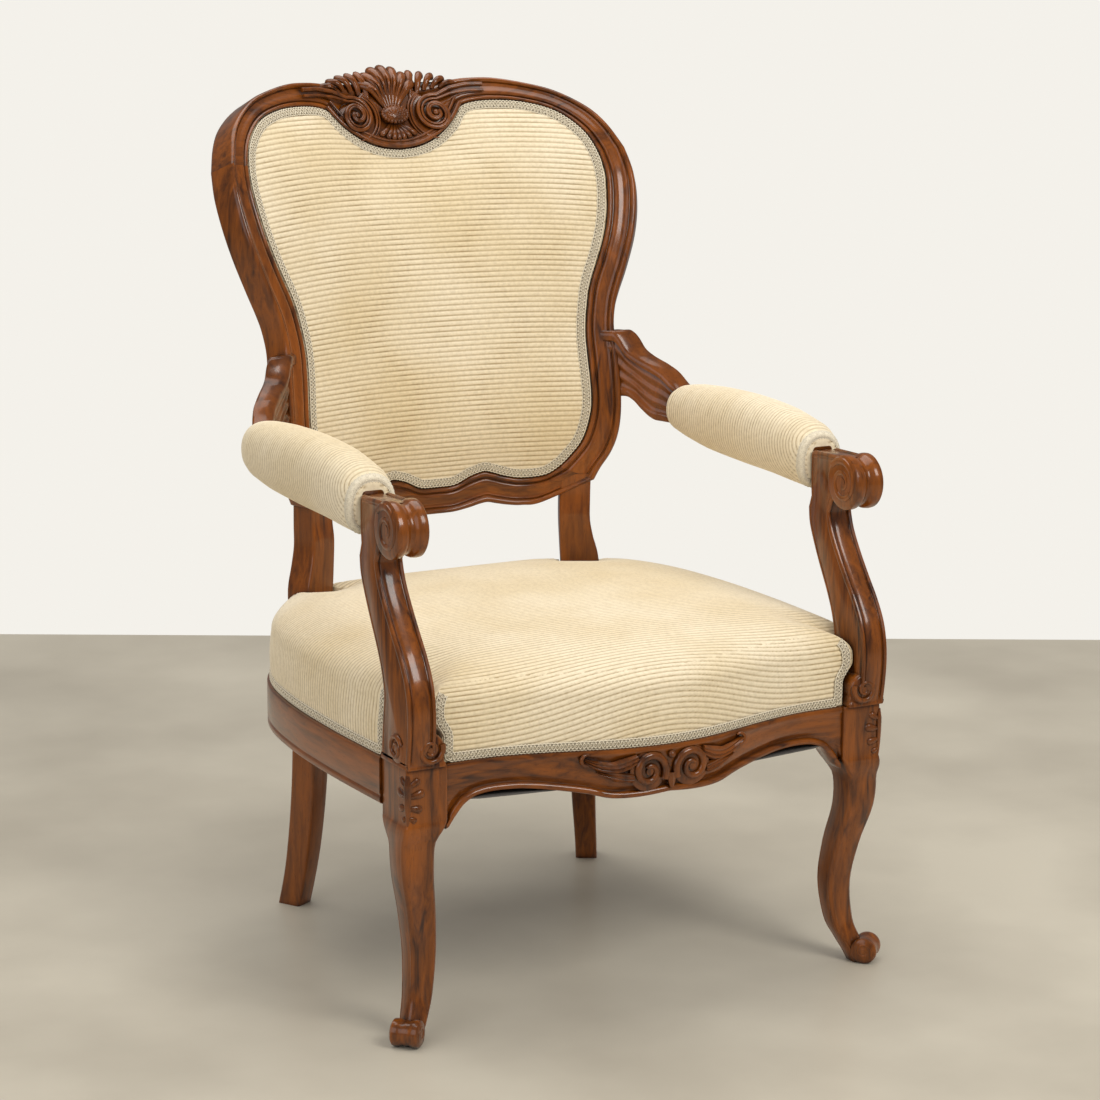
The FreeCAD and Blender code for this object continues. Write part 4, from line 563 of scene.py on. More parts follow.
def veined_finger(path, radii, out, flat, rise, vein, start):
    """One finger of a leaf, with a vein along its back."""
    line = [place + out * radius * rise for place, radius in zip(path[1:-2], radii[1:-2])]
    return [tube(path, radii, out, flat, 12), tube(line, taper(len(line), vein, start, 0.4), out, 1.0, 6)]


# The hollow, leaning surface that the back follows
def back_lean(z):
    return max(0.0, z - BACK_BEND) / (BACK_TOP - BACK_BEND)


def back_point(x, z):
    y = BACK_REACH + BACK_SWEEP * back_lean(z) ** 2 - BACK_HOLLOW * (x / BACK_HALF) ** 2
    return np.array((x, y, z))


def back_normal(x, z):
    slope = 2 * BACK_SWEEP * back_lean(z) / (BACK_TOP - BACK_BEND)
    return unit((2 * BACK_HOLLOW * x / BACK_HALF ** 2, 1, -slope))


def frame_place(x_share, height_share):
    return x_share * BACK_HALF, BACK_BOTTOM + height_share * BACK_HEIGHT


def frame_ring(row, profile=FRAME_PROFILE):
    """One section of the moulded back frame."""
    inner = back_point(*frame_place(row[0], row[1]))
    outer = back_point(*frame_place(row[2], row[3]))
    rearward = back_normal(*frame_place((row[0] + row[2]) / 2, (row[1] + row[3]) / 2))
    across = outer - inner
    inward = unit(across)
    return [inner + (across if share >= 0 else inward) * share + rearward * depth for share, depth in profile]


# Materials: procedural, in the part's own space
def new_material(name):
    """A material, its nodes, its shader and the place in the part's own space that its patterns follow."""
    material = bpy.data.materials.new(name)
    material.use_nodes = True
    tree = material.node_tree
    place = add_node(tree, "ShaderNodeTexCoord").outputs["Object"]
    return material, tree, tree.nodes["Principled BSDF"], place


def add_node(tree, kind, inputs=None, **settings):
    node = tree.nodes.new(kind)
    for key, value in settings.items():
        setattr(node, key, value)
    for key, value in (inputs or {}).items():
        if isinstance(value, bpy.types.NodeSocket):
            tree.links.new(value, node.inputs[key])
        else:
            node.inputs[key].default_value = value
    return node


def colour_ramp(tree, factor, stops):
    ramp = add_node(tree, "ShaderNodeValToRGB", {"Fac": factor})
    elements = ramp.color_ramp.elements
    while len(elements) < len(stops):
        elements.new(0.5)
    for element, (place, colour) in zip(elements, stops):
        element.position = place
        element.color = (*colour, 1)
    return ramp.outputs["Color"]


def mixed(tree, factor, first, second, blend="MIX"):
    mix = add_node(tree, "ShaderNodeMix", data_type="RGBA", blend_type=blend)
    for socket, value in ((mix.inputs[0], factor), (mix.inputs[6], first), (mix.inputs[7], second)):
        if isinstance(value, bpy.types.NodeSocket):
            tree.links.new(value, socket)
        else:
            socket.default_value = value if isinstance(value, float) else (*value, 1)
    return mix.outputs[2]


def noise(tree, place, scale, detail, distortion=0.0):
    inputs = {"Vector": place, "Scale": scale, "Detail": detail, "Distortion": distortion}
    return add_node(tree, "ShaderNodeTexNoise", inputs).outputs["Fac"]


def hollow_shade_mask(tree, distance, samples):
    """Ambient occlusion, 1 on open faces and less in hollow places: the mask of painted shade."""
    return add_node(tree, "ShaderNodeAmbientOcclusion", {"Distance": distance}, samples=samples).outputs["AO"]


def finish(tree, shader, colour, values, height=None, strength=0.0, distance=0.0):
    """Links the colour, sets the shader's values and lays a fine relief over the surface."""
    tree.links.new(colour, shader.inputs["Base Color"])
    for socket, value in values.items():
        shader.inputs[socket].default_value = value
    if height is not None:
        inputs = {"Height": height, "Strength": strength, "Distance": distance}
        bump = add_node(tree, "ShaderNodeBump", inputs)
        tree.links.new(bump.outputs["Normal"], shader.inputs["Normal"])


def wood(name, stretch, light=(0.225, 0.060, 0.004), dark=(0.035, 0.009, 0.002), gloss=0.28, coat=0.6):
    """Wood with its grain along the axis where stretch is small, and painted shade darkening its recesses;
    walnut unless told otherwise.
    """
    material, tree, shader, place = new_material(name)
    along = add_node(tree, "ShaderNodeMapping", {"Vector": place, "Scale": stretch}).outputs["Vector"]
    broad, pores = noise(tree, along, 1.6, 3.0), noise(tree, along, 55.0, 2.0)
    middle = tuple((a * 0.55 + b * 0.45) for a, b in zip(light, dark))
    base = colour_ramp(tree, noise(tree, along, 9.0, 6.0, 0.8), ((0.30, dark), (0.50, middle), (0.70, light)))
    warm = tuple(min(1.0, value * 1.5) for value in light)
    toned = mixed(tree, colour_ramp(tree, broad, ((0.42, (0, 0, 0)), (0.68, (0.55,) * 3))), base, warm)
    speck = colour_ramp(tree, pores, ((0.28, (0.35,) * 3), (0.42, (1, 1, 1))))
    grained = mixed(tree, 0.5, toned, speck, "MULTIPLY")
    # Painted shade: ambient occlusion darkens the wood in its recesses and between its parts.
    painted_recess_shade = colour_ramp(tree, hollow_shade_mask(tree, 0.010, 6), ((0.35, (0.12, 0.10, 0.09)), (0.86, (1, 1, 1))))
    surface = {"Roughness": gloss, "Specular IOR Level": 0.22, "Coat Weight": coat, "Coat Roughness": 0.12}
    finish(tree, shader, mixed(tree, 0.85, grained, painted_recess_shade, "MULTIPLY"), surface, pores, 0.05, 0.0006)
    return material


def ribbed_cloth(name, crest, groove_shade):
    """Cream ribbed cloth with painted shade in its grooves: the attribute rib is 1 on top of a rib and 0 in
    the groove, where the darker colour is painted.
    """
    material, tree, shader, place = new_material(name)
    rib = add_node(tree, "ShaderNodeAttribute", attribute_name="rib").outputs["Fac"]
    # Painted shade: the grooves between the ribs take the darker colour.
    base = colour_ramp(tree, rib, ((0.10, groove_shade), (0.80, crest)))
    stain = colour_ramp(tree, noise(tree, place, 5.5, 3.0), ((0.40, (1, 1, 1)), (0.70, (0.86, 0.80, 0.66))))
    toned = mixed(tree, 0.8, base, stain, "MULTIPLY")
    tuft = colour_ramp(tree, noise(tree, place, 240.0, 2.0), ((0.30, (0.80, 0.78, 0.74)), (0.60, (1, 1, 1))))
    surface = {"Roughness": 0.92, "Sheen Weight": 0.25, "Sheen Roughness": 0.6, "Specular IOR Level": 0.2}
    weave = noise(tree, place, 900.0, 1.0)
    finish(tree, shader, mixed(tree, 0.55, toned, tuft, "MULTIPLY"), surface, weave, 0.35, 0.0005)
    return material


def plain_cloth(name, colour, scale, strength):
    material, tree, shader, place = new_material(name)
    weave = noise(tree, place, scale, 2.0)
    darker = tuple(value * 0.72 for value in colour)
    surface = {"Roughness": 0.95, "Specular IOR Level": 0.2}
    threads = colour_ramp(tree, weave, ((0.35, darker), (0.62, colour)))
    finish(tree, shader, threads, surface, weave, strength, 0.0008)
    return material


def braided(name, light, dark):
    """Cream braid with painted shade in the gaps between its cords."""
    material, tree, shader, place = new_material(name)
    yarn = noise(tree, place, 800.0, 2.0)
    # Painted shade: ambient occlusion turns the braid dark in the gaps between its cords.
    base = colour_ramp(tree, hollow_shade_mask(tree, 0.0022, 8), ((0.38, dark), (0.82, light)))
    speck = colour_ramp(tree, yarn, ((0.35, (0.74, 0.72, 0.68)), (0.60, (1, 1, 1))))
    surface = {"Roughness": 0.85, "Sheen Weight": 0.2}
    finish(tree, shader, mixed(tree, 0.6, base, speck, "MULTIPLY"), surface, yarn, 0.4, 0.0004)
    return material


def steel(name, colour, rough):
    material, tree, shader, place = new_material(name)
    darker = tuple(value * 0.7 for value in colour)
    worn = colour_ramp(tree, noise(tree, place, 120.0, 2.0), ((0.4, darker), (0.6, colour)))
    finish(tree, shader, worn, {"Metallic": 1.0, "Roughness": rough})
    return material


GRAIN_UP = wood("walnut_up", (14, 14, 1.6))
GRAIN_ACROSS = wood("walnut_across", (1.6, 14, 14))
GRAIN_DEEP = wood("walnut_deep", (14, 1.6, 14))
CARVED = wood("walnut_carved", (9, 9, 4), (0.180, 0.048, 0.004), (0.032, 0.008, 0.002))
# The cloth's second colour is painted shade for the grooves between its ribs.
CLOTH = ribbed_cloth("ribbed_cloth", (0.860, 0.750, 0.550), (0.400, 0.285, 0.140))
# The braid's second colour is painted shade for the gaps between its cords.
BRAID = braided("gimp_braid", (0.800, 0.720, 0.560), (0.170, 0.125, 0.070))
DUST_CLOTH = plain_cloth("dust_cloth", (0.120, 0.110, 0.100), 900.0, 0.4)
BEECH = ((0.420, 0.270, 0.145), (0.230, 0.130, 0.060), 0.55, 0.0)
BEECH_UP = wood("beech_up", (12, 12, 1.6), *BEECH)
BEECH_ACROSS = wood("beech_across", (1.6, 12, 12), *BEECH)
SCREW_STEEL = steel("screw_steel", (0.430, 0.420, 0.400), 0.38)
SPRING_STEEL = steel("spring_steel", (0.330, 0.220, 0.140), 0.42)
WEBBING = plain_cloth("webbing", (0.430, 0.320, 0.180), 260.0, 0.7)
HESSIAN = plain_cloth("hessian", (0.380, 0.290, 0.160), 420.0, 0.8)
# Finish of the solids that show as they are
BARE_NODES = (
    ("rear_seat_rail", GRAIN_ACROSS), ("corner_block_front_left", BEECH_UP),
    ("corner_block_front_right", BEECH_UP), ("corner_block_rear_left", BEECH_UP),
    ("corner_block_rear_right", BEECH_UP), ("corner_block_screws", SCREW_STEEL),
    ("frame_dowels", BEECH_ACROSS), ("post_dowels", BEECH_UP), ("arm_dowels", BEECH_ACROSS),
    ("tenon_pegs", BEECH_ACROSS), ("seat_webbing", WEBBING), ("back_webbing", WEBBING),
    ("seat_hessian", HESSIAN), ("back_hessian", HESSIAN), ("seat_springs", SPRING_STEEL),
)


# Back frame
def leg_ways(turn):
    """Directions on a section of the back leg, inwards and to its rear, at its turn in degrees."""
    angle = math.radians(turn)
    return np.array((-math.cos(angle), math.sin(angle), 0)), np.array((math.sin(angle), math.cos(angle), 0))


def stile_foot():
    """The back leg up to the foot of the moulded frame, with rounded arrises."""
    rings = []
    for height_share, x_share, width_share, depth_share, turn in refined(REAR_LEG_SHARES, 4):
        z = height_share * BACK_BOTTOM
        x = x_share * BACK_HALF
        inward, rearward = leg_ways(turn)
        rake = REAR_LEG_RAKE * max(0.0, 1 - z / SIDE_RAIL_BOTTOM) ** 3
        set_in = 0.003 * smooth_step((z - 0.47) / 0.03)
        arris = np.array((x, back_point(x, z)[1] + rake, z)) + rearward * set_in
        width, depth = width_share * REAR_LEG_WIDTH, depth_share * REAR_LEG_DEPTH - set_in
        rings.append(round_ring(arris, inward * width, rearward * depth, 0.0035))
    return loft(rings)


def round_ring(corner, first, second, radius, steps=3):
    """A rectangle from a corner along two directions, with round corners."""
    first_unit, second_unit = unit(first), unit(second)
    wide, deep = np.linalg.norm(first), np.linalg.norm(second)
    ring = []
    for centre_x, centre_y, turn in (
        (radius, radius, 180), (wide - radius, radius, 270), (wide - radius, deep - radius, 0),
        (radius, deep - radius, 90),
    ):
        for step in range(steps + 1):
            angle = math.radians(turn + 90 * step / steps)
            ring.append(
                corner + first_unit * (centre_x + radius * math.cos(angle))
                + second_unit * (centre_y + radius * math.sin(angle))
            )
    return ring


def build_back_frame():
    stile = loft([frame_ring(row) for row in refined(STILE_SHARES, 6)])
    add_pair("rear_stile_carved", [stile, stile_foot()], GRAIN_UP, "rear_stile")
    crest = loft([frame_ring(row) for row in refined(mirror_shares(CREST_SHARES[::-1]), 6)])
    add_piece("crest_rail_carved", [crest], GRAIN_ACROSS, ["crest_rail"])
    ends = [(a, b, c, d) for a, b, c, d in BOTTOM_SHARES[:-1]] + [STILE_SHARES[0]]
    bottom = loft([frame_ring(row) for row in refined(mirror_shares(ends), 6)])
    add_piece("back_bottom_rail_carved", [bottom], GRAIN_ACROSS, ["back_bottom_rail"])


# Cartouche on the crest rail: places on it are metres across and up from its boss, and out of the frame
CREST_OUT = -back_normal(0, BOSS_LEVEL)


def on_crest(x, rise, height):
    z = BOSS_LEVEL + rise
    return back_point(x, z) - back_normal(x, z) * height


def cartouche_reach(angle):
    """Distance from the boss to the edge of the ground under the carving, at an angle from straight up."""
    turn = abs(math.degrees(angle))
    return float(np.interp(turn, [row[0] for row in CARTOUCHE_EDGE], [row[1] for row in CARTOUCHE_EDGE]))


def cartouche_ground():
    """The hollow ground that the shell and the scrolls are carved on."""
    count, rings = 120, []
    levels = [(part, 0.0045 * part ** 2 - 0.001) for part in np.linspace(0.05, 0.96, 9)]
    levels += [(1.0, 0.002), (1.0, -0.004), (0.985, -0.030)]
    for part, height in levels:
        ring = []
        for index in range(count):
            angle = 2 * math.pi * index / count - math.pi
            reach = cartouche_reach(angle) * part
            ring.append(on_crest(reach * math.sin(angle), reach * math.cos(angle), height))
        rings.append(ring)
    return loft(rings[::-1])


def shell_lobe(axis, turn, reaches, wide, proud, curl):
    """One lobe of the shell, which swells from the boss to its rounded end and rolls over to the rear; it
    leaves the axis of its fan by a turn. Angles are degrees from straight up."""
    path, radii = [], []
    steps = 20
    start, end = reaches
    for index in range(steps + 1):
        part = index / steps
        reach = start + (end - start) * part
        bend = math.radians(axis + turn * (1 + 0.22 * part ** 2))
        height = 0.001 + proud * smooth_step(part * 1.3) - curl * max(0.0, part - 0.5) ** 2 / 0.25
        path.append(on_crest(reach * math.sin(bend), reach * math.cos(bend), height))
        radii.append(wide * (0.32 + 0.68 * part ** 0.9) * round_tip(part, 0.86, 0.03))
    return tube(path, radii, CREST_OUT, 0.75, 12)


def crest_path(points, height):
    """A smooth path through places on the crest."""
    rows = refined([(x, rise, lift) for x, rise, lift in points], 6)
    return [on_crest(x, rise, height + lift) for x, rise, lift in rows]


def crest_scroll(side):
    """The volute beside the shell: two ridges run in from the frame over it and wind up to its eye."""
    turns, steps = 1.9, 72
    shells = []
    for share, ridge, lift in ((1.0, 0.0031, 0.0020), (0.78, 0.0019, 0.0030)):
        path = [(0.128, 0.0345 * share + 0.002, 0.0), (0.106, 0.0350 * share + 0.001, 0.001),
                (0.084, 0.0315 * share, 0.002)]
        for index in range(steps + 1):
            part = index / steps
            angle = math.radians(74) + 2 * math.pi * turns * part
            reach = (0.0272 - 0.0222 * part ** 0.80) * share
            path.append((SCROLL_EYE + reach * math.cos(angle), reach * math.sin(angle) * 0.88,
                         0.002 + 0.005 * smooth_step(part * 1.6)))
        places = [on_crest(side * x, rise, lift + height) for x, rise, height in path]
        radii = [ridge * (1 - 0.40 * index / len(places)) for index in range(len(places))]
        shells.append(tube(places, radii, CREST_OUT, 0.95))
    for reach, last, ridge in ((0.0318, 268, 0.0021), (0.0358, 232, 0.0017)):
        places = [
            on_crest(side * (SCROLL_EYE + reach * math.cos(angle)), reach * 0.88 * math.sin(angle), 0.0022)
            for angle in np.radians(np.linspace(118, last, 26))
        ]
        shells.append(tube(places, taper(26, ridge, 0.4, 0.3), CREST_OUT, 0.95, 8))
    out = -back_normal(side * SCROLL_EYE, BOSS_LEVEL)
    shells.append(dome(on_crest(side * SCROLL_EYE, 0, -0.002), 0.0225, out, 0.26, 6, 36))
    shells.append(dome(on_crest(side * SCROLL_EYE, 0, 0.0075), 0.0046, out, 0.9, 4, 16))
    return shells


def crest_leaves(side):
    """Leaves beside the shell, whose fingers lie over the top of the rail."""
    shells = []
    for foot_x, foot_rise, tip_x, tip_rise, wide in CREST_FINGERS:
        path, radii = [], []
        for part in np.arange(15) / 14:
            x = foot_x + (tip_x - foot_x) * part ** 1.25
            rise = foot_rise + (tip_rise - foot_rise) * math.sin(math.pi / 2 * part)
            height = 0.0055 * math.sin(math.pi * min(part * 1.1, 1)) - 0.004 * part
            path.append(on_crest(side * x, rise, height))
            radii.append(wide * (0.45 + 0.55 * part) * round_tip(part, 0.82, 0.04))
        shells += veined_finger(path, radii, CREST_OUT, 0.72, 0.62, 0.0012, 0.7)
    return shells


def crest_rim():
    """The two beads round the lower edge of the cartouche."""
    shells = []
    for scale, lift, ridge, height in ((1.0, 0.0, 0.0028, 0.0015), (0.945, 0.0056, 0.0018, 0.0025)):
        half = [(x * scale, rise + lift, 0.0) for x, rise in CREST_RIM]
        line = half + [(-x, rise, depth) for x, rise, depth in half[-2::-1]]
        path = crest_path(line, height)
        shells.append(tube(path, [ridge] * len(path), CREST_OUT, 0.9))
    return shells


def build_cartouche():
    shells = [cartouche_ground()]
    for turn in SHELL_TURNS:
        length = 0.0640 - 0.0050 * (turn / 36) ** 2
        shells.append(shell_lobe(0, turn, (0.010, length), 0.0078, 0.0080, 0.016))
        shells.append(shell_lobe(0, turn, (0.012, length * 0.84), 0.0024, 0.0138, 0.0110))
    for turn in LOWER_TURNS:
        length = 0.0300 + 0.0050 * (turn / 50) ** 2
        shells.append(shell_lobe(180, turn * 0.8, (0.010, length), 0.0040, 0.0040, 0.003))
    for side in (-1, 1):
        shells += crest_scroll(side) + crest_leaves(side)
    add_piece("crest_shell", shells + crest_rim() + crest_medallion(), CARVED)


def crest_medallion():
    """The oval boss: a pebbled middle in a ring of beads."""
    up = unit(np.cross(CREST_OUT, RIGHT))
    centre = on_crest(0, 0, 0.0065)
    profile = ((1.0, -0.008), (1.0, 0.0), (0.92, 0.0022), (0.75, 0.0040), (0.5, 0.0054), (0.2, 0.0060))
    shells = [loft([
        circle(centre + CREST_OUT * height, RIGHT * 0.0180, up * 0.0118, reach, 40)
        for reach, height in profile
    ])]
    for place in circle(centre + CREST_OUT * 0.0006, RIGHT * 0.0172, up * 0.0110, 1.0, 22):
        shells.append(dome(place, 0.0026, CREST_OUT, 0.95, 3, 10))
    for index in range(34):
        angle, reach = 2.39996 * index, math.sqrt((index + 0.5) / 34)
        place = centre + reach * (RIGHT * 0.0135 * math.cos(angle) + up * 0.0080 * math.sin(angle))
        shells.append(dome(place + CREST_OUT * (0.0054 - 0.0020 * reach ** 2), 0.0017, CREST_OUT, 0.9, 3, 8))
    return shells


# Seat frame
def front_line(x):
    bow = FRONT_BOW * (1 + math.cos(math.pi * x / BOW_HALF)) / 2 if abs(x) < BOW_HALF else 0.0
    return -FRONT_REACH - bow


def apron_level(x):
    """Lower edge of the front rail."""
    shares = np.array(APRON_SHARES)
    place = abs(x) / LEG_INNER
    fine = refined(shares, 8)
    return FRONT_RAIL_BOTTOM + float(np.interp(place, fine[:, 0], fine[:, 1])) * FRONT_RAIL_HEIGHT


def build_front_rail():
    rings = []
    count = 150
    for index in range(count + 1):
        x = LEG_INNER * (2 * index / count - 1)
        y, low = front_line(x), apron_level(x)
        slope = (apron_level(x + 0.001) - apron_level(x - 0.001)) / 0.002
        room = min(math.sqrt(1 + slope * slope), 2.2)
        profile = (
            (0.004, RAIL_TOP), (0.001, RAIL_TOP - 0.001), (0.0, RAIL_TOP - 0.004),
            (0.0, RAIL_TOP - 0.006), (0.0016, RAIL_TOP - 0.0085), (0.0016, (RAIL_TOP + low) / 2 + 0.006),
            (0.0018, low + 0.0175 * room), (0.0040, low + 0.0135 * room), (0.0062, low + 0.0100 * room),
            (0.0062, low + 0.0085 * room), (0.0030, low + 0.0075 * room), (0.0008, low + 0.0055 * room),
            (0.0004, low + 0.0035 * room), (0.0016, low + 0.0010 * room), (0.0040, low),
            (RAIL_THICKNESS * 0.5, low), (RAIL_THICKNESS - 0.002, low), (RAIL_THICKNESS, low + 0.002),
            (RAIL_THICKNESS, RAIL_TOP - 0.001), (RAIL_THICKNESS - 0.001, RAIL_TOP),
        )
        rings.append([np.array((x, y + depth, z)) for depth, z in profile])
    add_piece("front_rail_carved", [loft(rings)], GRAIN_ACROSS, ["front_rail"])
    add_piece("front_rail_scrolls", rail_scrolls(), CARVED)


def rail_scrolls():
    """The pair of C scrolls on the front rail, with their leaves and the drop between them."""
    level, eye = FRONT_RAIL_BOTTOM + 0.0275, 0.028
    centre = np.array((eye, front_line(eye) + 0.001, level))
    half = [dome(centre - FORWARD * 0.001, 0.0240, FORWARD, 0.10, 4, 36)]
    half += spiral(centre + FORWARD * 0.0025, -RIGHT, UP, 0.0225, 1.45, -0.5, 0.0050, 1, 0.22)
    tail, second = [], []
    for part in np.arange(17) / 16:
        x = eye + 0.014 + 0.062 * part
        z = level + 0.0165 - 0.010 * math.sin(math.pi * part) + 0.002 * part
        tail.append((x, front_line(x) - 0.001, z))
    for part in np.arange(13) / 12:
        x = eye + 0.019 + 0.042 * part
        second.append((x, front_line(x) - 0.001, level - 0.006 + 0.010 * part ** 1.5))
    hook = [(0.101 + 0.0065 * math.cos(a), front_line(0.101) - 0.002, level + 0.0185 + 0.0060 * math.sin(a))
            for a in np.linspace(-2.4, 2.2, 14)]
    half.append(leaf(tail, taper(17, 0.0088, 0.6, 0.25), FORWARD, 0.0055, 2, 3, 0.12))
    half.append(tube(hook, taper(14, 0.0028, 0.7, 0.4), FORWARD))
    half.append(leaf(second, taper(13, 0.0068, 0.7, 0.2), FORWARD, 0.0045, 2, 2, 0.12))
    drop = np.array((0.0, front_line(0) - 0.001, level + 0.017))
    lower = [(0.0, front_line(0) - 0.0015, level - 0.004 - 0.018 * step / 8) for step in range(9)]
    return half + [mirrored(shell) for shell in half] + [
        dome(drop, 0.0048, FORWARD, 0.9, 4, 14), leaf(lower, taper(9, 0.006, 0.8, 0.2), FORWARD, 0.003, 1, 1)
    ]


def rear_arris(level):
    """The outer front arris of the back leg at the seat frame, and the way to its rear."""
    _, x_share, _, _, turn = REAR_LEG_SHARES[5]
    return back_point(x_share * BACK_HALF, level), leg_ways(turn)[1]


def side_points():
    arris, rearward = rear_arris(RAIL_TOP)
    run = (arris + rearward * REAR_LEG_DEPTH)[1] - LEG_REAR
    return np.array([(a * SEAT_HALF, LEG_REAR + b * run, 0) for a, b in SIDE_SHARES])


def plan_normals(points):
    """Directions to the left of the way a line in plan runs."""
    ahead = np.gradient(points, axis=0)
    ahead /= np.linalg.norm(ahead, axis=1)[:, None]
    return np.stack([-ahead[:, 1], ahead[:, 0], np.zeros(len(points))], axis=1)


def build_side_rails():
    line = refined(side_points(), 8)
    inward = plan_normals(line)
    arris, rearward = rear_arris(RAIL_TOP)
    rings = []
    low, high = SIDE_RAIL_BOTTOM, RAIL_TOP
    profile = (
        (0.0030, high), (0.0008, high - 0.0008), (0.0, high - 0.003), (0.0, low + 0.013),
        (0.0012, low + 0.0105), (0.0012, low + 0.0095), (0.0002, low + 0.0080), (0.0, low + 0.004),
        (0.0010, low + 0.0012), (0.0034, low), (RAIL_THICKNESS - 0.0154, low),
        (RAIL_THICKNESS - 0.014, low + 0.001), (RAIL_THICKNESS - 0.014, low + 0.015),
        (RAIL_THICKNESS, low + 0.015), (RAIL_THICKNESS, high - 0.001), (RAIL_THICKNESS - 0.001, high),
    )
    for place, direction in zip(line, inward):
        beyond = np.dot(place - arris, rearward) > REAR_LEG_DEPTH * 0.5 and place[0] < arris[0] + 0.012
        if beyond or place[1] < LEG_REAR - 0.001:
            continue
        rings.append([place + direction * depth + UP * z for depth, z in profile])
    rings.insert(0, [np.array((p[0], LEG_REAR - 0.0002, p[2])) for p in rings[0]])
    add_pair("side_rail_moulded", [loft(rings)], GRAIN_DEEP, "side_rail")


# Front legs
def leg_ring(centre, width, depth, z, bead, corner):
    """A rounded square with a bead on each arris."""
    ring = []
    radius = corner * min(width, depth)
    for quarter in range(4):
        sx, sy = ((1, 1), (-1, 1), (-1, -1), (1, -1))[quarter]
        middle = np.array((sx * (width / 2 - radius), sy * (depth / 2 - radius)))
        for step in range(9):
            part = step / 8
            angle = math.pi / 2 * (quarter + part)
            dip = bead * (math.exp(-((part - 0.08) / 0.07) ** 2) + math.exp(-((part - 0.92) / 0.07) ** 2))
            reach = radius - dip
            place = centre[:2] + middle + reach * np.array((math.cos(angle), math.sin(angle)))
            ring.append(np.array((*place, z)))
    return ring


def build_front_legs():
    rings = []
    for z in (RAIL_TOP, RAIL_TOP - 0.002, RAIL_TOP - 0.010, RAIL_TOP - 0.030, LEG_BLOCK_BOTTOM + 0.010):
        shrink = 0.001 if z == RAIL_TOP else 0.0
        rings.append(leg_ring(LEG_CENTRE, LEG_WIDTH - shrink, LEG_DEPTH - shrink, z, 0.0, 0.07))
    for height_share, swing, width_share in refined(LEG_SHARES[::-1], 5)[::-1]:
        place = LEG_CENTRE + LEG_WAY * swing * LEG_SWING
        block = smooth_step((height_share - 0.88) / 0.12)
        leg = 1 - block
        width, depth = (width_share * LEG_KNEE * leg + size * block for size in (LEG_WIDTH, LEG_DEPTH))
        rings.append(leg_ring(
            place, width, depth, height_share * LEG_BLOCK_BOTTOM, 0.0012 * leg, 0.24 * leg + 0.07 * block
        ))
    add_pair("front_leg_carved", [loft(rings)] + toe_scroll(), GRAIN_UP, "front_leg")
    add_pair("front_leg_leaf", leg_leaf(), CARVED)


def toe_scroll():
    """The scroll at the foot of the leg: a short roll with a spiral on each face."""
    axis = (RIGHT - FORWARD) / math.sqrt(2)
    middle = LEG_CENTRE + LEG_WAY * TOE_REACH + UP * TOE_RADIUS
    profile = ((-0.5, 0.80), (-0.44, 0.97), (-0.36, 1.0), (-0.22, 0.97), (-0.12, 0.88), (0.0, 0.93),
               (0.12, 0.88), (0.22, 0.97), (0.36, 1.0), (0.44, 0.97), (0.5, 0.80))
    shells = [loft([
        circle(middle + axis * place * TOE_WIDTH, LEG_WAY, UP, TOE_RADIUS * reach, 32)
        for place, reach in profile
    ])]
    for side in (-1, 1):
        face = middle + axis * side * TOE_WIDTH * 0.49
        shells += spiral(face, LEG_WAY, UP * side, 0.0105, 1.4, -0.5 * side, 0.0019, side, 0.28, 0.7)
    return shells


def leg_leaf():
    """The lobed leaf carved round the outer corner of the block: fingers on both faces from one stem."""
    corner = LEG_CENTRE + np.array((LEG_WIDTH / 2 - 0.0022, -LEG_DEPTH / 2 + 0.0022, 0))
    stem = [corner + UP * (0.318 - 0.058 * part) + LEG_WAY * 0.0012 for part in np.linspace(0, 1, 15)]
    shells = [tube(stem, taper(15, 0.0046, 0.5, 0.25), LEG_WAY, 0.8)]
    for face, along in ((FORWARD, -RIGHT), (RIGHT, -FORWARD)):
        for level, reach, rise, wide in LEAF_FINGERS:
            path, radii = [], []
            for part in np.arange(11) / 10:
                place = corner + along * reach * part + UP * (level + rise * part ** 1.4)
                path.append(place + face * (0.0010 + 0.0016 * math.sin(math.pi * part)))
                radii.append(wide * (0.45 + 0.55 * part) * round_tip(part, 0.75, 0.05))
            shells += veined_finger(path, radii, face, 0.62, 0.52, 0.0011, 0.8)
    return shells


# Arm posts
def post_outline():
    """The S of a post in side view, from the front of its foot up to its head and down its back."""
    rows = refined(POST_SHARES, 4)
    front = [(-POST_REACH + s * POST_SETBACK, RAIL_TOP + h * POST_HEIGHT) for h, s, d in rows]
    rear = [(-POST_REACH + s * POST_SETBACK + d * POST_DEPTH, RAIL_TOP + h * POST_HEIGHT) for h, s, d in rows]
    neck_y, neck_z = front[-1]
    roll_y, roll_z = -POST_REACH + ROLL_SETBACK, POST_TOP - ROLL_RADIUS
    into = [(neck_y - 0.006 * part, neck_z + 0.014 * part) for part in (0.5, 1.0)] + [(roll_y, roll_z)]
    top_z = roll_z + ROLL_RADIUS * 0.90
    top = [(roll_y, top_z), (roll_y + 0.02, top_z), (HEAD_REAR - 0.008, top_z - 0.001),
           (HEAD_REAR - 0.001, top_z - 0.004), (HEAD_REAR, top_z - 0.010), (HEAD_REAR, 0.590)]
    fall = [(HEAD_REAR - 0.0005, 0.575), (HEAD_REAR - 0.002, 0.560)]
    return np.array(front + into + top + fall + rear[::-1])


def outline_normals(outline):
    """Directions to the right of the way a closed outline runs."""
    ahead = np.roll(outline, -1, axis=0) - np.roll(outline, 1, axis=0)
    ahead /= np.maximum(np.linalg.norm(ahead, axis=1), 1e-9)[:, None]
    return np.stack([ahead[:, 1], -ahead[:, 0]], axis=1)


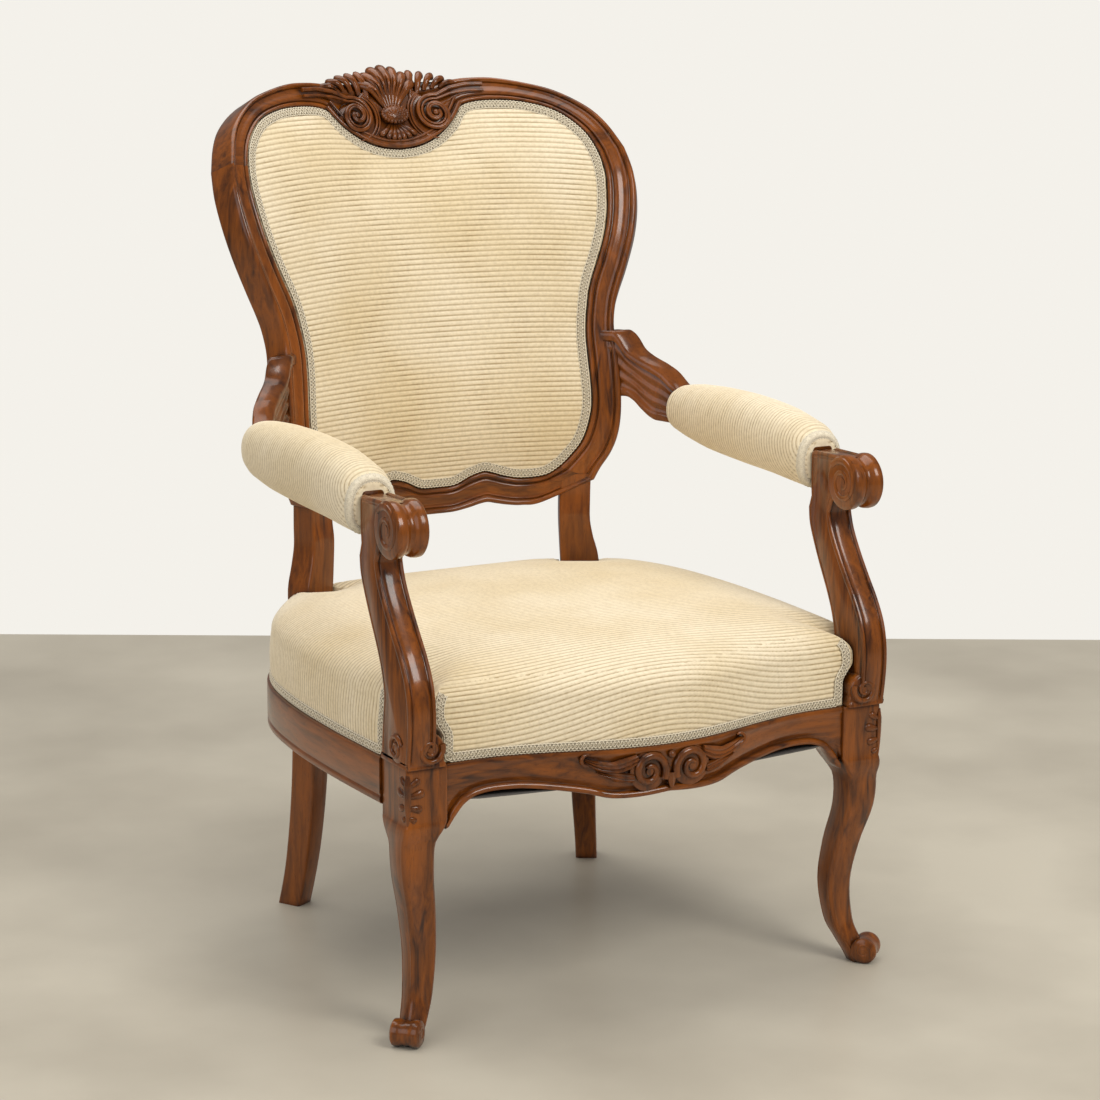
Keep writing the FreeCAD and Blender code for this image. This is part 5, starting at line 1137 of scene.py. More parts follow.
def offset_outline(outline, inset):
    """A closed outline moved inwards along its own normals."""
    return outline + outline_normals(outline) * inset


def two_sided(profile):
    """A profile from one side to the other, from the half that runs from the middle outwards."""
    return [(-share, value) for share, value in reversed(profile)] + list(profile)


def plate(outline, middle, half, profile):
    """A thick plate in the side plane: profile gives, from the middle outwards, x as a share of the half
    thickness and how far the outline is drawn in."""
    rings = []
    for share, inset in two_sided(profile):
        line = offset_outline(outline, inset)
        rings.append([np.array((middle + share * half, y, z)) for y, z in line])
    return loft(rings)


def build_arm_posts():
    profile = (
        (0.05, 0.0010), (0.35, 0.0013), (0.60, 0.0022), (0.66, 0.0034), (0.70, 0.0034), (0.74, 0.0014),
        (0.82, 0.0003), (0.90, 0.0006), (0.96, 0.0020), (0.985, 0.0038), (0.985, 0.0050), (0.95, 0.0058),
        (0.95, 0.0064), (0.985, 0.0072),
    )
    shells = [plate(post_outline(), POST_X, POST_WIDTH / 2, profile)] + post_roll() + post_base()
    add_pair("arm_post_carved", shells, GRAIN_UP, "arm_post")


def post_roll():
    """The roll on top of a post: two beads round it and a spiral on each side."""
    middle = np.array((POST_X, -POST_REACH + ROLL_SETBACK, POST_TOP - ROLL_RADIUS))
    half, reach = POST_WIDTH / 2 + 0.002, ROLL_RADIUS * 0.84
    side_profile = ((0.06, 0.85), (0.18, 0.87), (0.28, 0.94), (0.45, 0.985), (0.70, 1.0), (0.88, 0.985),
                    (0.97, 0.92), (1.0, 0.84), (1.0, 0.40))
    shells = [loft([
        circle(middle + RIGHT * (share * half), FORWARD, UP, ROLL_RADIUS * size, 48)
        for share, size in two_sided(side_profile)
    ])]
    for side in (-1, 1):
        face = middle + RIGHT * (side * (half - 0.0006))
        shells += spiral(face, FORWARD, UP * side, reach, 1.6, side * 2.4, 0.0046, -side, 0.24, 0.62)
    return shells


def post_base():
    """The foot of a post: a low block with a scroll on its front and one on its outer face."""
    rings = []
    for rise, inset in (
        (0.0, 0.0), (0.004, 0.0), (0.006, 0.0015), (0.010, 0.0015), (0.018, 0.004), (0.022, 0.010)
    ):
        start = np.array((0.266 + inset, -POST_REACH + inset, RAIL_TOP + rise))
        across, back = RIGHT * (0.049 - 2 * inset), -FORWARD * (POST_DEPTH - 2 * inset)
        rings.append(round_ring(start, across, back, 0.003))
    shells = [loft(rings)]
    # Each scroll: its middle, the way out of its face, its radius and depth, and its spiral
    for x, back, out, right, radius, depth, lift, way, reach, ridge, hand in (
        (0.2865, 0.0, FORWARD, RIGHT, 0.0192, 0.030, 0.0014, -RIGHT, 0.0158, 0.0034, -1),
        (POST_OUTER, 0.026, RIGHT, FORWARD, 0.0185, 0.020, 0.0010, FORWARD, 0.0152, 0.0033, 1),
    ):
        face = np.array((x, -POST_REACH + back, RAIL_TOP + 0.0205))
        shells.append(roll_disc(face, out, right, UP, radius, depth))
        shells += spiral(face + out * lift, way, UP, reach, 1.5, 0.4, ridge, hand, 0.24)
    return shells


def roll_disc(face, out, right, up, radius, depth):
    """A short cylinder with a rounded edge, whose face looks along out."""
    profile = ((depth, 1.0), (0.004, 1.0), (0.0016, 0.975), (0.0, 0.90), (-0.0008, 0.84))
    return loft([circle(face - out * back, right, up, radius * reach, 36) for back, reach in profile])


# Arms
def arm_ring(row):
    """A section of the arm: its bracket has flutes between a bead along its top and one along its foot,
    and runs out plain on its outer face, into the side of the stile."""
    run, side, low_share, high_share, thickness_share = row
    middle = POST_X + side * (ARM_REAR - POST_X)
    y = HEAD_REAR + run * ARM_RUN
    low, high = ARM_LEVEL + low_share * ARM_RISE, ARM_LEVEL + high_share * ARM_RISE
    full_depth = FLUTE_DEPTH * smooth_step((run - 0.74) / 0.10)
    ring = []
    half = thickness_share * ARM_THICKNESS / 2
    count = 36
    for sign in (1, -1):
        depth = full_depth * (1 - smooth_step((run - 0.925) / 0.037)) if sign > 0 else full_depth
        for step in range(count + 1):
            part = step / count if sign > 0 else 1 - step / count
            edge = min(part, 1 - part) * (high - low)
            if 0.14 < part < 0.84:
                place = (part - 0.14) / 0.70
                flute = depth * (0.45 + 0.55 * (0.5 - 0.5 * math.cos(2 * math.pi * 3.5 * place)))
            else:
                flute = depth * 0.09 * math.exp(-(min(part, 1 - part) / 0.05) ** 2 * 0.3)
            round_off = 0.004 * (1 - math.sqrt(max(0.0, 1 - (1 - min(edge / 0.006, 1)) ** 2)))
            ring.append(np.array((middle + sign * (half - flute - round_off), y, low + part * (high - low))))
    return ring


def build_arms():
    add_pair("arm_carved", [loft([arm_ring(row) for row in refined(ARM_SHARES, 7)])], CARVED, "arm")


# Upholstery
def with_left(right):
    """A closed outline from its right half, which runs from one point in the middle to another."""
    right = np.asarray(right, float)
    return np.concatenate([right, right[-2:0:-1] * (-1, 1)])


def is_inside(points, outline):
    ends = np.roll(outline, -1, axis=0)
    inside = np.zeros(len(points), bool)
    for (x, y), (end_x, end_y) in zip(outline, ends):
        if y == end_y:
            continue
        crosses = (points[:, 1] < y) != (points[:, 1] < end_y)
        inside ^= crosses & (points[:, 0] < x + (points[:, 1] - y) * (end_x - x) / (end_y - y))
    return inside


def edge_distances(points, outline):
    """The distance of each point from an outline, and a smooth mean of its distances from all sides."""
    ends = np.roll(outline, -1, axis=0)
    along = ends - outline
    lengths = np.linalg.norm(along, axis=1)
    near, mean = np.empty(len(points)), np.empty(len(points))
    for start in range(0, len(points), 3000):
        part = points[start:start + 3000]
        reach = part[:, None, :] - outline[None]
        place = np.clip((reach * along[None]).sum(2) / lengths ** 2, 0, 1)
        gaps = ((reach - place[..., None] * along[None]) ** 2).sum(2)
        near[start:start + 3000] = np.sqrt(gaps.min(1))
        middles = ((reach - along[None] / 2) ** 2).sum(2)
        total = (lengths / np.maximum(middles, 1e-9) ** 2).sum(1) * 2 / math.pi
        mean[start:start + 3000] = total ** (-1 / 3)
    return near, mean


def edge_field(points, outline):
    """Distance from the edge: the true one beside it, the smooth mean further in."""
    near, mean = edge_distances(points, outline)
    part = smooth_step((near - 0.004) / 0.016)
    return near * (1 - part) + np.minimum(mean, near) * part


def sheet_triangles(outline, levels, column_step, margin=0.0006):
    """A flat sheet inside an outline, cut into triangles; its inner points lie in rows at the levels."""
    half = np.abs(outline[:, 0]).max()
    count = int(half / column_step) + 1
    columns = np.arange(-count, count + 1) * column_step
    grid = np.stack(np.meshgrid(columns, levels), axis=-1).reshape(-1, 2)
    grid = grid[is_inside(grid, outline)]
    grid = grid[edge_distances(grid, outline)[0] > margin]
    flat = np.concatenate([outline, grid])
    found = delaunay_2d_cdt([Vector(p) for p in flat], [], [list(range(len(outline)))], 1, 1e-7)
    places = np.array([
        flat[origin[0]] if origin else tuple(point) for point, origin in zip(found[0], found[3])
    ])
    return places, [tuple(face) for face in found[2]]


def rib_height(phase):
    """1 on top of a rib, 0 in the groove beside it; the phase counts ribs."""
    return np.abs(np.sin(math.pi * phase)) ** 0.6


def welded(points, faces, values):
    """One mesh in which points at the same place are one."""
    keys = np.round(points / 2e-5).astype(np.int64)
    _, first, inverse = np.unique(keys, axis=0, return_index=True, return_inverse=True)
    inverse = inverse.reshape(-1).tolist()
    kept = []
    for face in faces:
        face = tuple(inverse[index] for index in face)
        if len(set(face)) == len(face):
            kept.append(face)
    return points[first], kept, [value[first] for value in values]


def add_cloth(name, points, faces, phase, relief, stands_for):
    """A piece of ribbed cloth: its points are drawn in between the ribs, and carry the rib's height, which
    also sets the painted shade in the grooves.
    """
    points, faces, (phase, relief) = welded(points, faces, [phase, relief])
    points, faces = outward((points, faces))
    mesh = new_mesh(name, points, faces)
    normals = np.empty(len(points) * 3)
    mesh.vertex_normals.foreach_get("vector", normals)
    ribs = rib_height(phase)
    ribbed = points + normals.reshape(-1, 3) * ((ribs - 1) * relief)[:, None]
    mesh.vertices.foreach_set("co", ribbed.reshape(-1))
    # Painted shade: the attribute rib darkens the grooves in the cloth's material.
    tone = mesh.attributes.new("rib", "FLOAT", "POINT")
    tone.data.foreach_set("value", np.where(relief > 0, ribs, 0.8))
    mesh.update()
    return new_piece(name, mesh, CLOTH, stands_for)


# Back cushion
def opening_outline(steps=5):
    """The inner edge of the back frame in x and height."""
    rows = list(BOTTOM_SHARES[:-1]) + list(STILE_SHARES) + list(CREST_SHARES[1:])
    fine = refined(rows, steps)
    right = np.stack([fine[:, 0] * BACK_HALF, BACK_BOTTOM + fine[:, 1] * BACK_HEIGHT], axis=1)
    return with_left(right)


def drawn_in(outline, inset):
    """An outline that runs anticlockwise, moved inwards."""
    return offset_outline(outline, -inset)


def on_back(flat, depths):
    """Places behind the front of the back frame by a depth, or by one depth each."""
    depths = np.broadcast_to(depths, len(flat))
    return np.array([back_point(x, z) + back_normal(x, z) * depth for (x, z), depth in zip(flat, depths)])


def back_sheet(column_step):
    """The flat sheet in the opening of the back: its outline, points and faces."""
    outline = drawn_in(opening_outline(), CUSHION_GAP)
    levels = np.arange(BACK_BOTTOM, BACK_TOP, RIB_PITCH / CUSHION_STEPS)
    flat, faces = sheet_triangles(outline, levels, column_step)
    return outline, flat, faces


def back_swell(flat):
    """How far the cushion of the back stands out, as a share of its crown."""
    field = edge_field(flat, opening_outline(2))
    return 1 - (1 - np.minimum(field / BACK_SWELL_REACH, 1)) ** 2.4


def build_back_cover():
    outline, flat, faces = back_sheet(0.006)
    edge, total = len(outline), len(flat)
    front = on_back(flat, COVER_DEPTH - BACK_CROWN * back_swell(flat))
    sway = 0.0006 * np.sin(flat[:, 0] * 21 + 1.3) + 0.0004 * np.sin(flat[:, 1] * 37)
    phase = (flat[:, 1] + sway - BACK_BOTTOM) / RIB_PITCH
    depths = (COVER_DEPTH, COVER_DEPTH + 0.004, COVER_REAR)
    wall = np.concatenate([on_back(outline, depth) for depth in depths])
    rear_flat, rear_faces = sheet_triangles(outline, np.arange(BACK_BOTTOM, BACK_TOP, 0.012), 0.012, 0.003)
    points = np.concatenate([front, wall, on_back(rear_flat, COVER_REAR)])
    faces += [face[::-1] for face in grid_faces(3, edge, total, True)]
    faces += [tuple(total + len(wall) + index for index in face[::-1]) for face in rear_faces]
    still = np.zeros(len(points) - total)
    cover = add_cloth(
        "back_cushion", points, faces, np.concatenate([phase, still + 0.5]),
        np.concatenate([np.full(total, RIB_RELIEF), still]), ["back_cover", "back_stuffing"]
    )


def build_outside_back():
    """The cloth over the rear of the back: a thin sheet stretched on the frame."""
    outline, flat, faces = back_sheet(0.010)
    phase = (flat[:, 1] - BACK_BOTTOM) / RIB_PITCH
    swell = 0.003 * back_swell(flat)
    near, far = (on_back(flat, OUTSIDE_DEPTH + depth + swell) for depth in (0, OUTSIDE_THICKNESS))
    relief = np.repeat((0, RIB_RELIEF * 0.7), len(flat))
    skin = thick_sheet(near, far, faces, list(range(len(outline))))
    cover = add_cloth("outside_back_cloth", *skin, np.tile(phase, 2), relief, ["outside_back_cover"])


def thick_sheet(near, far, faces, rim):
    """A closed skin of a sheet and its other side; rim lists the points round its edge."""
    count = len(near)
    under = [tuple(count + index for index in face[::-1]) for face in faces]
    sides = [(count + a, count + b, b, a) for a, b in zip(rim, rim[1:] + rim[:1])]
    return np.concatenate([near, far]), faces + under + sides


# Seat cushion
def side_line_x(y):
    """Place of the seat's side, drawn in from the rail's face."""
    line = refined(side_points(), 10)
    line = line + plan_normals(line) * SEAT_INSET
    return np.interp(y, line[:, 1], line[:, 0])


def stile_corners(z, clear):
    """Plan corners of the back leg at a height, moved out by a clearance: outer front, outer rear, inner
    front and inner rear."""
    heights = [row[0] * BACK_BOTTOM for row in REAR_LEG_SHARES]
    place = float(np.interp(z, heights, range(len(heights))))
    _, x_share, width_share, depth_share, turn = between(REAR_LEG_SHARES, place)
    inward, rearward = (way[:2] for way in leg_ways(turn))
    corner = back_point(x_share * BACK_HALF, z)[:2]
    width, depth = width_share * REAR_LEG_WIDTH, depth_share * REAR_LEG_DEPTH
    outer = corner - (inward + rearward) * clear
    inner = corner + inward * (width + clear) - rearward * clear
    return outer, outer + rearward * (depth + 2 * clear), inner, inner + rearward * (depth + 2 * clear)


def run_points(start, end, step):
    """Points from a start up to, but not at, an end."""
    start, end = np.asarray(start, float), np.asarray(end, float)
    count = max(1, int(round(np.linalg.norm(end - start) / step)))
    return [start + (end - start) * index / count for index in range(count)]


def seat_outline():
    """The seat's plan: its right half from the middle of the front, with notches at post and stile."""
    notch_x, notch_y = POST_NOTCH
    front = [np.array((x, front_line(x) + SEAT_INSET)) for x in np.arange(0, notch_x, 0.0025)]
    corner = np.array((notch_x, front_line(notch_x) + SEAT_INSET))
    right = front + run_points(corner, (notch_x, notch_y), 0.004)
    right += run_points((notch_x, notch_y), (side_line_x(notch_y), notch_y), 0.004)
    levels = np.arange(notch_y, SIDE_END, RIB_PITCH / CUSHION_STEPS)
    right += [np.array((side_line_x(y), y)) for y in levels]
    outer, outer_rear, inner, inner_rear = stile_corners(0.38, 0.0025)
    last = np.array((side_line_x(SIDE_END), SIDE_END))
    rear_inner = np.array((inner_rear[0] - 0.001, SEAT_REAR))
    for start, end in ((last, outer_rear), (outer_rear, outer), (outer, inner), (inner, rear_inner),
                       (rear_inner, (0.0, SEAT_REAR))):
        right += run_points(start, end, 0.005)
    right.append(np.array((0.0, SEAT_REAR)))
    right = np.array(right)
    apart = np.linalg.norm(np.diff(right, axis=0), axis=1) > 0.0002
    return with_left(right[np.concatenate([[True], apart])])


def shoulder_height(inset):
    """Height of the seat over its foot at a distance in from its edge."""
    part = np.clip(np.asarray(inset, float) / SEAT_DOME_REACH, 0, 1)
    return SHOULDER_LEVEL + (SEAT_CROWN - SHOULDER_LEVEL) * (1 - (1 - part) ** 2.5) ** 0.4


def shoulder_steps():
    """Distances in from the seat's edge, from the top's edge out to the wall, at even steps of the cloth."""
    inset = SHOULDER_INSET * np.linspace(1, 0, 4000) ** 3
    run = np.concatenate([[0], np.cumsum(np.hypot(np.diff(inset), np.diff(shoulder_height(inset))))])
    return np.interp(np.linspace(0, run[-1], int(run[-1] / SHOULDER_STEP)), run, inset)


def seat_inset_outline(outline, inset):
    """The plan outline drawn in towards its middle."""
    middle = np.array((0.0, (front_line(0) + SEAT_REAR) / 2))
    return middle + (outline - middle) * (1 - inset / SEAT_HALF)


def seat_field(flat, ring):
    """Distance in from the edge of the seat, for plan points inside or outside of the shoulder's ring."""
    inside = is_inside(flat, ring)
    near = edge_distances(flat, ring)[0]
    return np.where(inside, SHOULDER_INSET + edge_field(flat, ring), np.maximum(SHOULDER_INSET - near, 0))


def seat_lengths(ring):
    """Lengths along the cloth from the middle of the seat to a plan place: columns, rows and the table."""
    columns = np.linspace(-SEAT_HALF, SEAT_HALF, 81)
    rows = np.arange(-0.396, 0.206, 0.002)
    grid = np.stack(np.meshgrid(columns, rows), axis=-1).reshape(-1, 2)
    height = shoulder_height(seat_field(grid, ring)).reshape(len(rows), len(columns))
    steps = np.sqrt(np.diff(height, axis=0) ** 2 + (rows[1] - rows[0]) ** 2)
    lengths = np.concatenate([np.zeros((1, len(columns))), np.cumsum(steps, axis=0)])
    zero = int(np.argmin(np.abs(rows)))
    return columns, rows, lengths - lengths[zero]


def sampled(table, x, y):
    """Bilinear value of a table at plan places."""
    columns, rows, values = table
    u = np.clip((x - columns[0]) / (columns[1] - columns[0]), 0, len(columns) - 1.001)
    v = np.clip((y - rows[0]) / (rows[1] - rows[0]), 0, len(rows) - 1.001)
    i, j = u.astype(int), v.astype(int)
    u, v = u - i, v - j
    low = values[j, i] * (1 - u) + values[j, i + 1] * u
    high = values[j + 1, i] * (1 - u) + values[j + 1, i + 1] * u
    return low * (1 - v) + high * v


def seat_notch_gap(plan):
    """Distance of plan places from the edges of the notches at the posts."""
    x, y = POST_NOTCH
    corner = (x, front_line(x) + SEAT_INSET)
    line = run_points(corner, (x, y), 0.002) + run_points((x, y), (float(side_line_x(y)), y), 0.002)
    line.append(np.array((float(side_line_x(y)), y)))
    line = np.array(line)
    line = np.concatenate([line, line * (-1, 1)])
    return np.sqrt(((plan[:, None, :] - line[None]) ** 2).sum(2).min(1))


def seat_drawn_over(points):
    """The cushion fills the room beside the post, where this is narrower than its foot."""
    x, y, z = points[:, 0], points[:, 1], points[:, 2]
    level = smooth_step((z - SEAT_FOOT - 0.030) / 0.022)
    ahead = np.clip((POST_NOTCH[1] - y) / 0.004 + 1, 0, 1)
    across = np.clip(1 - (POST_NOTCH[0] - np.abs(x)) / 0.050, 0, 1) * (np.abs(x) <= POST_NOTCH[0] + 0.0004)
    behind = np.clip(1 - (y - POST_NOTCH[1]) / 0.030, 0, 1) * (y >= POST_NOTCH[1] - 0.0004)
    beside = np.clip((np.abs(x) - POST_NOTCH[0]) / 0.004 + 1, 0, 1)
    drawn = points.copy()
    drawn[:, 0] += np.sign(x) * 0.0135 * level * ahead * across ** 1.5
    drawn[:, 1] -= 0.0055 * level * beside * behind ** 1.5
    return drawn


def seat_strip(outline, columns, heights, table):
    """Shoulder and wall of the seat at some columns of its outline: points, lengths along the cloth."""
    outward_way = outline_normals(outline)[columns]
    free = np.clip(seat_notch_gap(outline[columns]) / 0.030, 0, 1)
    rings = []
    for inset in shoulder_steps():
        plan = seat_inset_outline(outline, inset)[columns]
        rings.append(np.column_stack([plan, np.full(len(plan), SEAT_FOOT + float(shoulder_height(inset)))]))
    for height in heights:
        inner = 0 < height < SHOULDER_LEVEL
        swell = SEAT_BULGE * math.sin(math.pi * height / SHOULDER_LEVEL) ** 0.8 if inner else 0
        plan = outline[columns] + outward_way * (swell * free)[:, None]
        rings.append(np.column_stack([plan, np.full(len(plan), SEAT_FOOT + height)]))
    lengths = [sampled(table, rings[0][:, 0], rings[0][:, 1])]
    for before, after in zip(rings, rings[1:]):
        lengths.append(lengths[-1] + outward_way[:, 1] * np.linalg.norm(after - before, axis=1))
    rings = np.array(rings)
    return seat_drawn_over(rings.reshape(-1, 3)).reshape(rings.shape), np.array(lengths)


def build_seat_cover():
    """The crowned seat cushion, whose ribs run on from its top down its sides; gives the strips of its
    sides in front between the posts, and of the rest."""
    outline = seat_outline()
    ring = seat_inset_outline(outline, SHOULDER_INSET)
    table = seat_lengths(ring[::4])
    fine_rows = np.arange(-0.390, -0.300, RIB_PITCH / 9)
    levels = np.concatenate([fine_rows, np.arange(-0.300, SEAT_REAR, RIB_PITCH / CUSHION_STEPS)])
    flat, faces = sheet_triangles(ring, levels, 0.006)
    inset = SHOULDER_INSET + edge_field(flat, ring[::3])
    inset[:len(ring)] = SHOULDER_INSET
    top = seat_drawn_over(np.column_stack([flat, SEAT_FOOT + shoulder_height(inset)]))
    parts = [(top, sampled(table, flat[:, 0], flat[:, 1]), np.full(len(top), RIB_RELIEF))]
    total, count = len(top), len(outline)
    post_corner = (POST_NOTCH[0], front_line(POST_NOTCH[0]) + SEAT_INSET)
    corner = int(np.argmin(np.linalg.norm(outline - post_corner, axis=1)))
    strips = []
    for columns, rows in ((np.arange(-corner, corner + 1) % count, 56),
                          (np.arange(corner, count - corner + 1) % count, 45)):
        rings, lengths = seat_strip(outline, columns, np.linspace(SHOULDER_LEVEL, 0, rows)[1:], table)
        faces += [face[::-1] for face in grid_faces(len(rings), len(columns), total)]
        fade = np.clip(seat_notch_gap(outline[columns]) / 0.004, 0, 1) * RIB_RELIEF
        parts.append((rings.reshape(-1, 3), lengths.reshape(-1), np.tile(fade, len(rings))))
        strips.append(rings)
        total += len(parts[-1][0])
    faces.append(tuple(total + index for index in range(count - 1, -1, -1)))
    parts.append((np.column_stack([outline, np.full(count, SEAT_FOOT)]), np.zeros(count), np.zeros(count)))
    points, lengths, relief = (np.concatenate([part[column] for part in parts]) for column in range(3))
    cover = add_cloth(
        "seat_cushion", points, faces, lengths / RIB_PITCH, relief, ["seat_cover", "seat_stuffing"]
    )
    return strips


# Gimp
def resampled(path, step):
    """A path, with a direction at each of its points, at even steps."""
    points = np.array([place for place, _ in path])
    ways = np.array([way for _, way in path])
    lengths = np.concatenate([[0], np.cumsum(np.linalg.norm(np.diff(points, axis=0), axis=1))])
    places = np.linspace(0, lengths[-1], max(2, int(round(lengths[-1] / step)) + 1))
    points = np.column_stack([np.interp(places, lengths, points[:, axis]) for axis in range(3)])
    ways = np.column_stack([np.interp(places, lengths, ways[:, axis]) for axis in range(3)])
    return points, ways / np.linalg.norm(ways, axis=1)[:, None], places


def braid(path, closed=False):
    """Gimp along a path: a flat tape, two cords that cross over it and a thin cord at each edge."""
    points, out, places = resampled(path, BRAID_STEP)
    if closed:
        points, out, places = points[:-1], out[:-1], places[:-1]
        ahead = np.roll(points, -1, axis=0) - np.roll(points, 1, axis=0)
    else:
        ahead = np.gradient(points, axis=0)
    ahead /= np.linalg.norm(ahead, axis=1)[:, None]
    side = np.cross(out, ahead)
    side /= np.linalg.norm(side, axis=1)[:, None]
    lift = np.cross(ahead, side)
    length = places[-1] + (BRAID_STEP if closed else 0)
    turns = max(1, round(length / BRAID_PITCH))
    swing = 2 * math.pi * turns * places / length
    half = GIMP_WIDTH / 2
    tape = ((-0.84, 0.0), (0.84, 0.0), (0.80, 0.0009), (-0.80, 0.0009))
    shells = [swept([points + side * (a * half) + lift * b for a, b in tape], closed)]
    for sign in (1, -1):
        across = sign * 0.60 * half * np.sin(swing)
        height = BRAID_CORD * (0.9 + 0.45 * sign * np.cos(swing * 2 + math.pi / 2))
        line = points + side * across[:, None] + lift * height[:, None]
        shells.append(cord(line, side, lift, BRAID_CORD, closed))
        edge = sign * half * (0.88 + 0.10 * np.cos(swing * 2))
        line = points + side * edge[:, None] + lift * BRAID_CORD * 0.8
        shells.append(cord(line, side, lift, BRAID_CORD * 0.72, closed))
    return shells


def cord(line, side, lift, radius, closed):
    return swept(circle(line, side, lift, radius, 6), closed)


def swept(lines, closed):
    """A tube whose long edges are the lines."""
    rings = np.stack(lines, axis=1)
    if not closed:
        return loft(rings)
    count, sides = rings.shape[:2]
    last = (count - 1) * sides
    ends = [(last + index, last + (index + 1) % sides, (index + 1) % sides, index) for index in range(sides)]
    return rings.reshape(-1, 3), grid_faces(count, sides, 0, True) + ends


def add_braid(name, shells, node):
    add_piece(name, shells, BRAID, [node], sharp=0)


def build_back_gimp():
    """The braid round the opening of the back, lying on the edge of the cushion."""
    line = drawn_in(opening_outline(4), GIMP_WIDTH / 2 + 0.001)
    swell = back_swell(line)
    path = []
    for (x, z), rise in zip(line, swell):
        out = -back_normal(x, z)
        path.append((back_point(x, z) - out * (COVER_DEPTH - BACK_CROWN * rise) + out * 0.0002, out))
    path.append(path[0])
    add_braid("back_braid", braid(path, True), "back_gimp")


def strip_path(strip, column, rows):
    """Places on one column of a strip, each with the direction that looks out of the cloth."""
    path = []
    for row in rows:
        place = strip[row, column]
        along = strip[row, min(column + 2, strip.shape[1] - 1)] - strip[row, max(column - 2, 0)]
        down = strip[min(row + 1, len(strip) - 1), column] - strip[max(row - 1, 0), column]
        path.append((place, unit(np.cross(down, along))))
    return path


def rounded_corners(path, reach=4):
    """The path with its corners cut, so that the braid turns in a short bend."""
    points = np.array([place for place, _ in path])
    smooth = points.copy()
    for index in range(reach, len(points) - reach):
        smooth[index] = points[index - reach:index + reach + 1].mean(axis=0)
    return [(place, way) for place, (_, way) in zip(smooth, path)]


def build_seat_gimp(strips):
    front, other = strips
    heights = front[:, 0, 2] - SEAT_FOOT
    foot = int(np.argmin(np.abs(heights - GIMP_WIDTH / 2)))
    first = int(np.argmin(np.abs(shoulder_steps() - GIMP_TOP_INSET)))
    inner = int(np.argmin(np.abs(front[-1, :, 0] - (POST_NOTCH[0] - GIMP_WIDTH / 2 - 0.0005))))
    outer = front.shape[1] - 1 - inner
    rows = range(first, foot)
    level = [strip_path(front, column, [foot])[0] for column in range(outer, inner + 1)]
    path = strip_path(front, outer, rows) + level + strip_path(front, inner, rows)[::-1]
    path = [(place + way * 0.0004, way) for place, way in path]
    add_braid("seat_front_braid", braid(even_path(path)), "seat_gimp_front")
    heights = other[:, 0, 2] - SEAT_FOOT
    side_rows = [row for row in range(first, len(heights)) if heights[row] > GIMP_WIDTH / 2]
    for name, sign in (("right", 1), ("left", -1)):
        plan = other[-1]
        lowest = POST_NOTCH[1] + GIMP_WIDTH / 2 + 0.0005
        outside = sign * plan[:, 0] > 0.23
        chosen = [c for c in range(plan.shape[0]) if outside[c] and lowest <= plan[c, 1] <= SIDE_END]
        chosen.sort(key=lambda c: plan[c, 1])
        start = chosen[0]
        down = strip_path(other, start, side_rows)
        level = []
        for column in chosen:
            place, way = strip_path(other, column, [len(heights) - 1])[0]
            level.append((np.array((place[0], place[1], SEAT_FOOT + GIMP_WIDTH / 2)), way * (1, 1, 0)))
        path = [(place + unit(way) * 0.0006, unit(way)) for place, way in down + level]
        add_braid(f"seat_side_braid_{name}", braid(even_path(path)), f"seat_gimp_side_{name}")


def even_path(path):
    """A path at even steps, in short bends at its corners."""
    points, ways, _ = resampled(path, 0.0012)
    return rounded_corners(list(zip(points, ways)))


# Arm pads
def pad_row(run):
    shares = np.array(PAD_SHARES)
    place = float(np.interp(run, shares[:, 0], range(len(shares))))
    return between(PAD_SHARES, place)


def arm_side(run):
    shares = np.array(ARM_SHARES)
    return float(np.interp(run, shares[:, 0], shares[:, 1]))


def pad_ring(run, count, grow=0.0, shrink=1.0):
    """An oval section of a pad, which is a little flatter below."""
    _, width, height, drop = pad_row(run)
    x = POST_X + arm_side(run) * (ARM_REAR - POST_X)
    y = HEAD_REAR + run * ARM_RUN
    z = PAD_LEVEL - drop * PAD_HALF_HEIGHT
    wide, high = width * PAD_HALF_WIDTH * shrink + grow, height * PAD_HALF_HEIGHT * shrink + grow
    ring = []
    for index in range(count):
        angle = 2 * math.pi * index / count
        across, upright = math.sin(angle), math.cos(angle)
        lower = 1 - 0.10 * max(0.0, -upright) ** 2
        square = 1 / (abs(across) ** 2.5 + abs(upright) ** 2.5) ** 0.4
        soft = 0.5 + 0.5 * square
        ring.append(np.array((x + wide * across * soft, y, z + high * upright * lower * soft)))
    return ring


def pad_shell():
    """Rings of a pad from its front to its rear end, with rounded ends."""
    first, last = PAD_SHARES[0][0], PAD_SHARES[-1][0]
    margin, step = 0.0105 / ARM_RUN, RIB_PITCH / CUSHION_STEPS / ARM_RUN
    front = [pad_ring(first + back / ARM_RUN, 96, 0.0, shrink) for shrink, back in PAD_ROUND]
    middle = [pad_ring(run, 96) for run in np.arange(first + margin, last - margin, step)]
    rear = [pad_ring(last - back / ARM_RUN, 96, 0.0, shrink) for shrink, back in PAD_ROUND[::-1]]
    return np.array(front + middle + rear)


def pad_phase(points):
    """Ribs run round the pad; at its front they gather towards the top of the post."""
    ahead = points[:, 1] - HEAD_REAR + 0.004
    down = np.maximum(PAD_LEVEL + PAD_HALF_HEIGHT * 0.45 - points[:, 2], 0)
    return np.sqrt(ahead ** 2 + 0.8 * down ** 2) / (RIB_PITCH * 0.86)


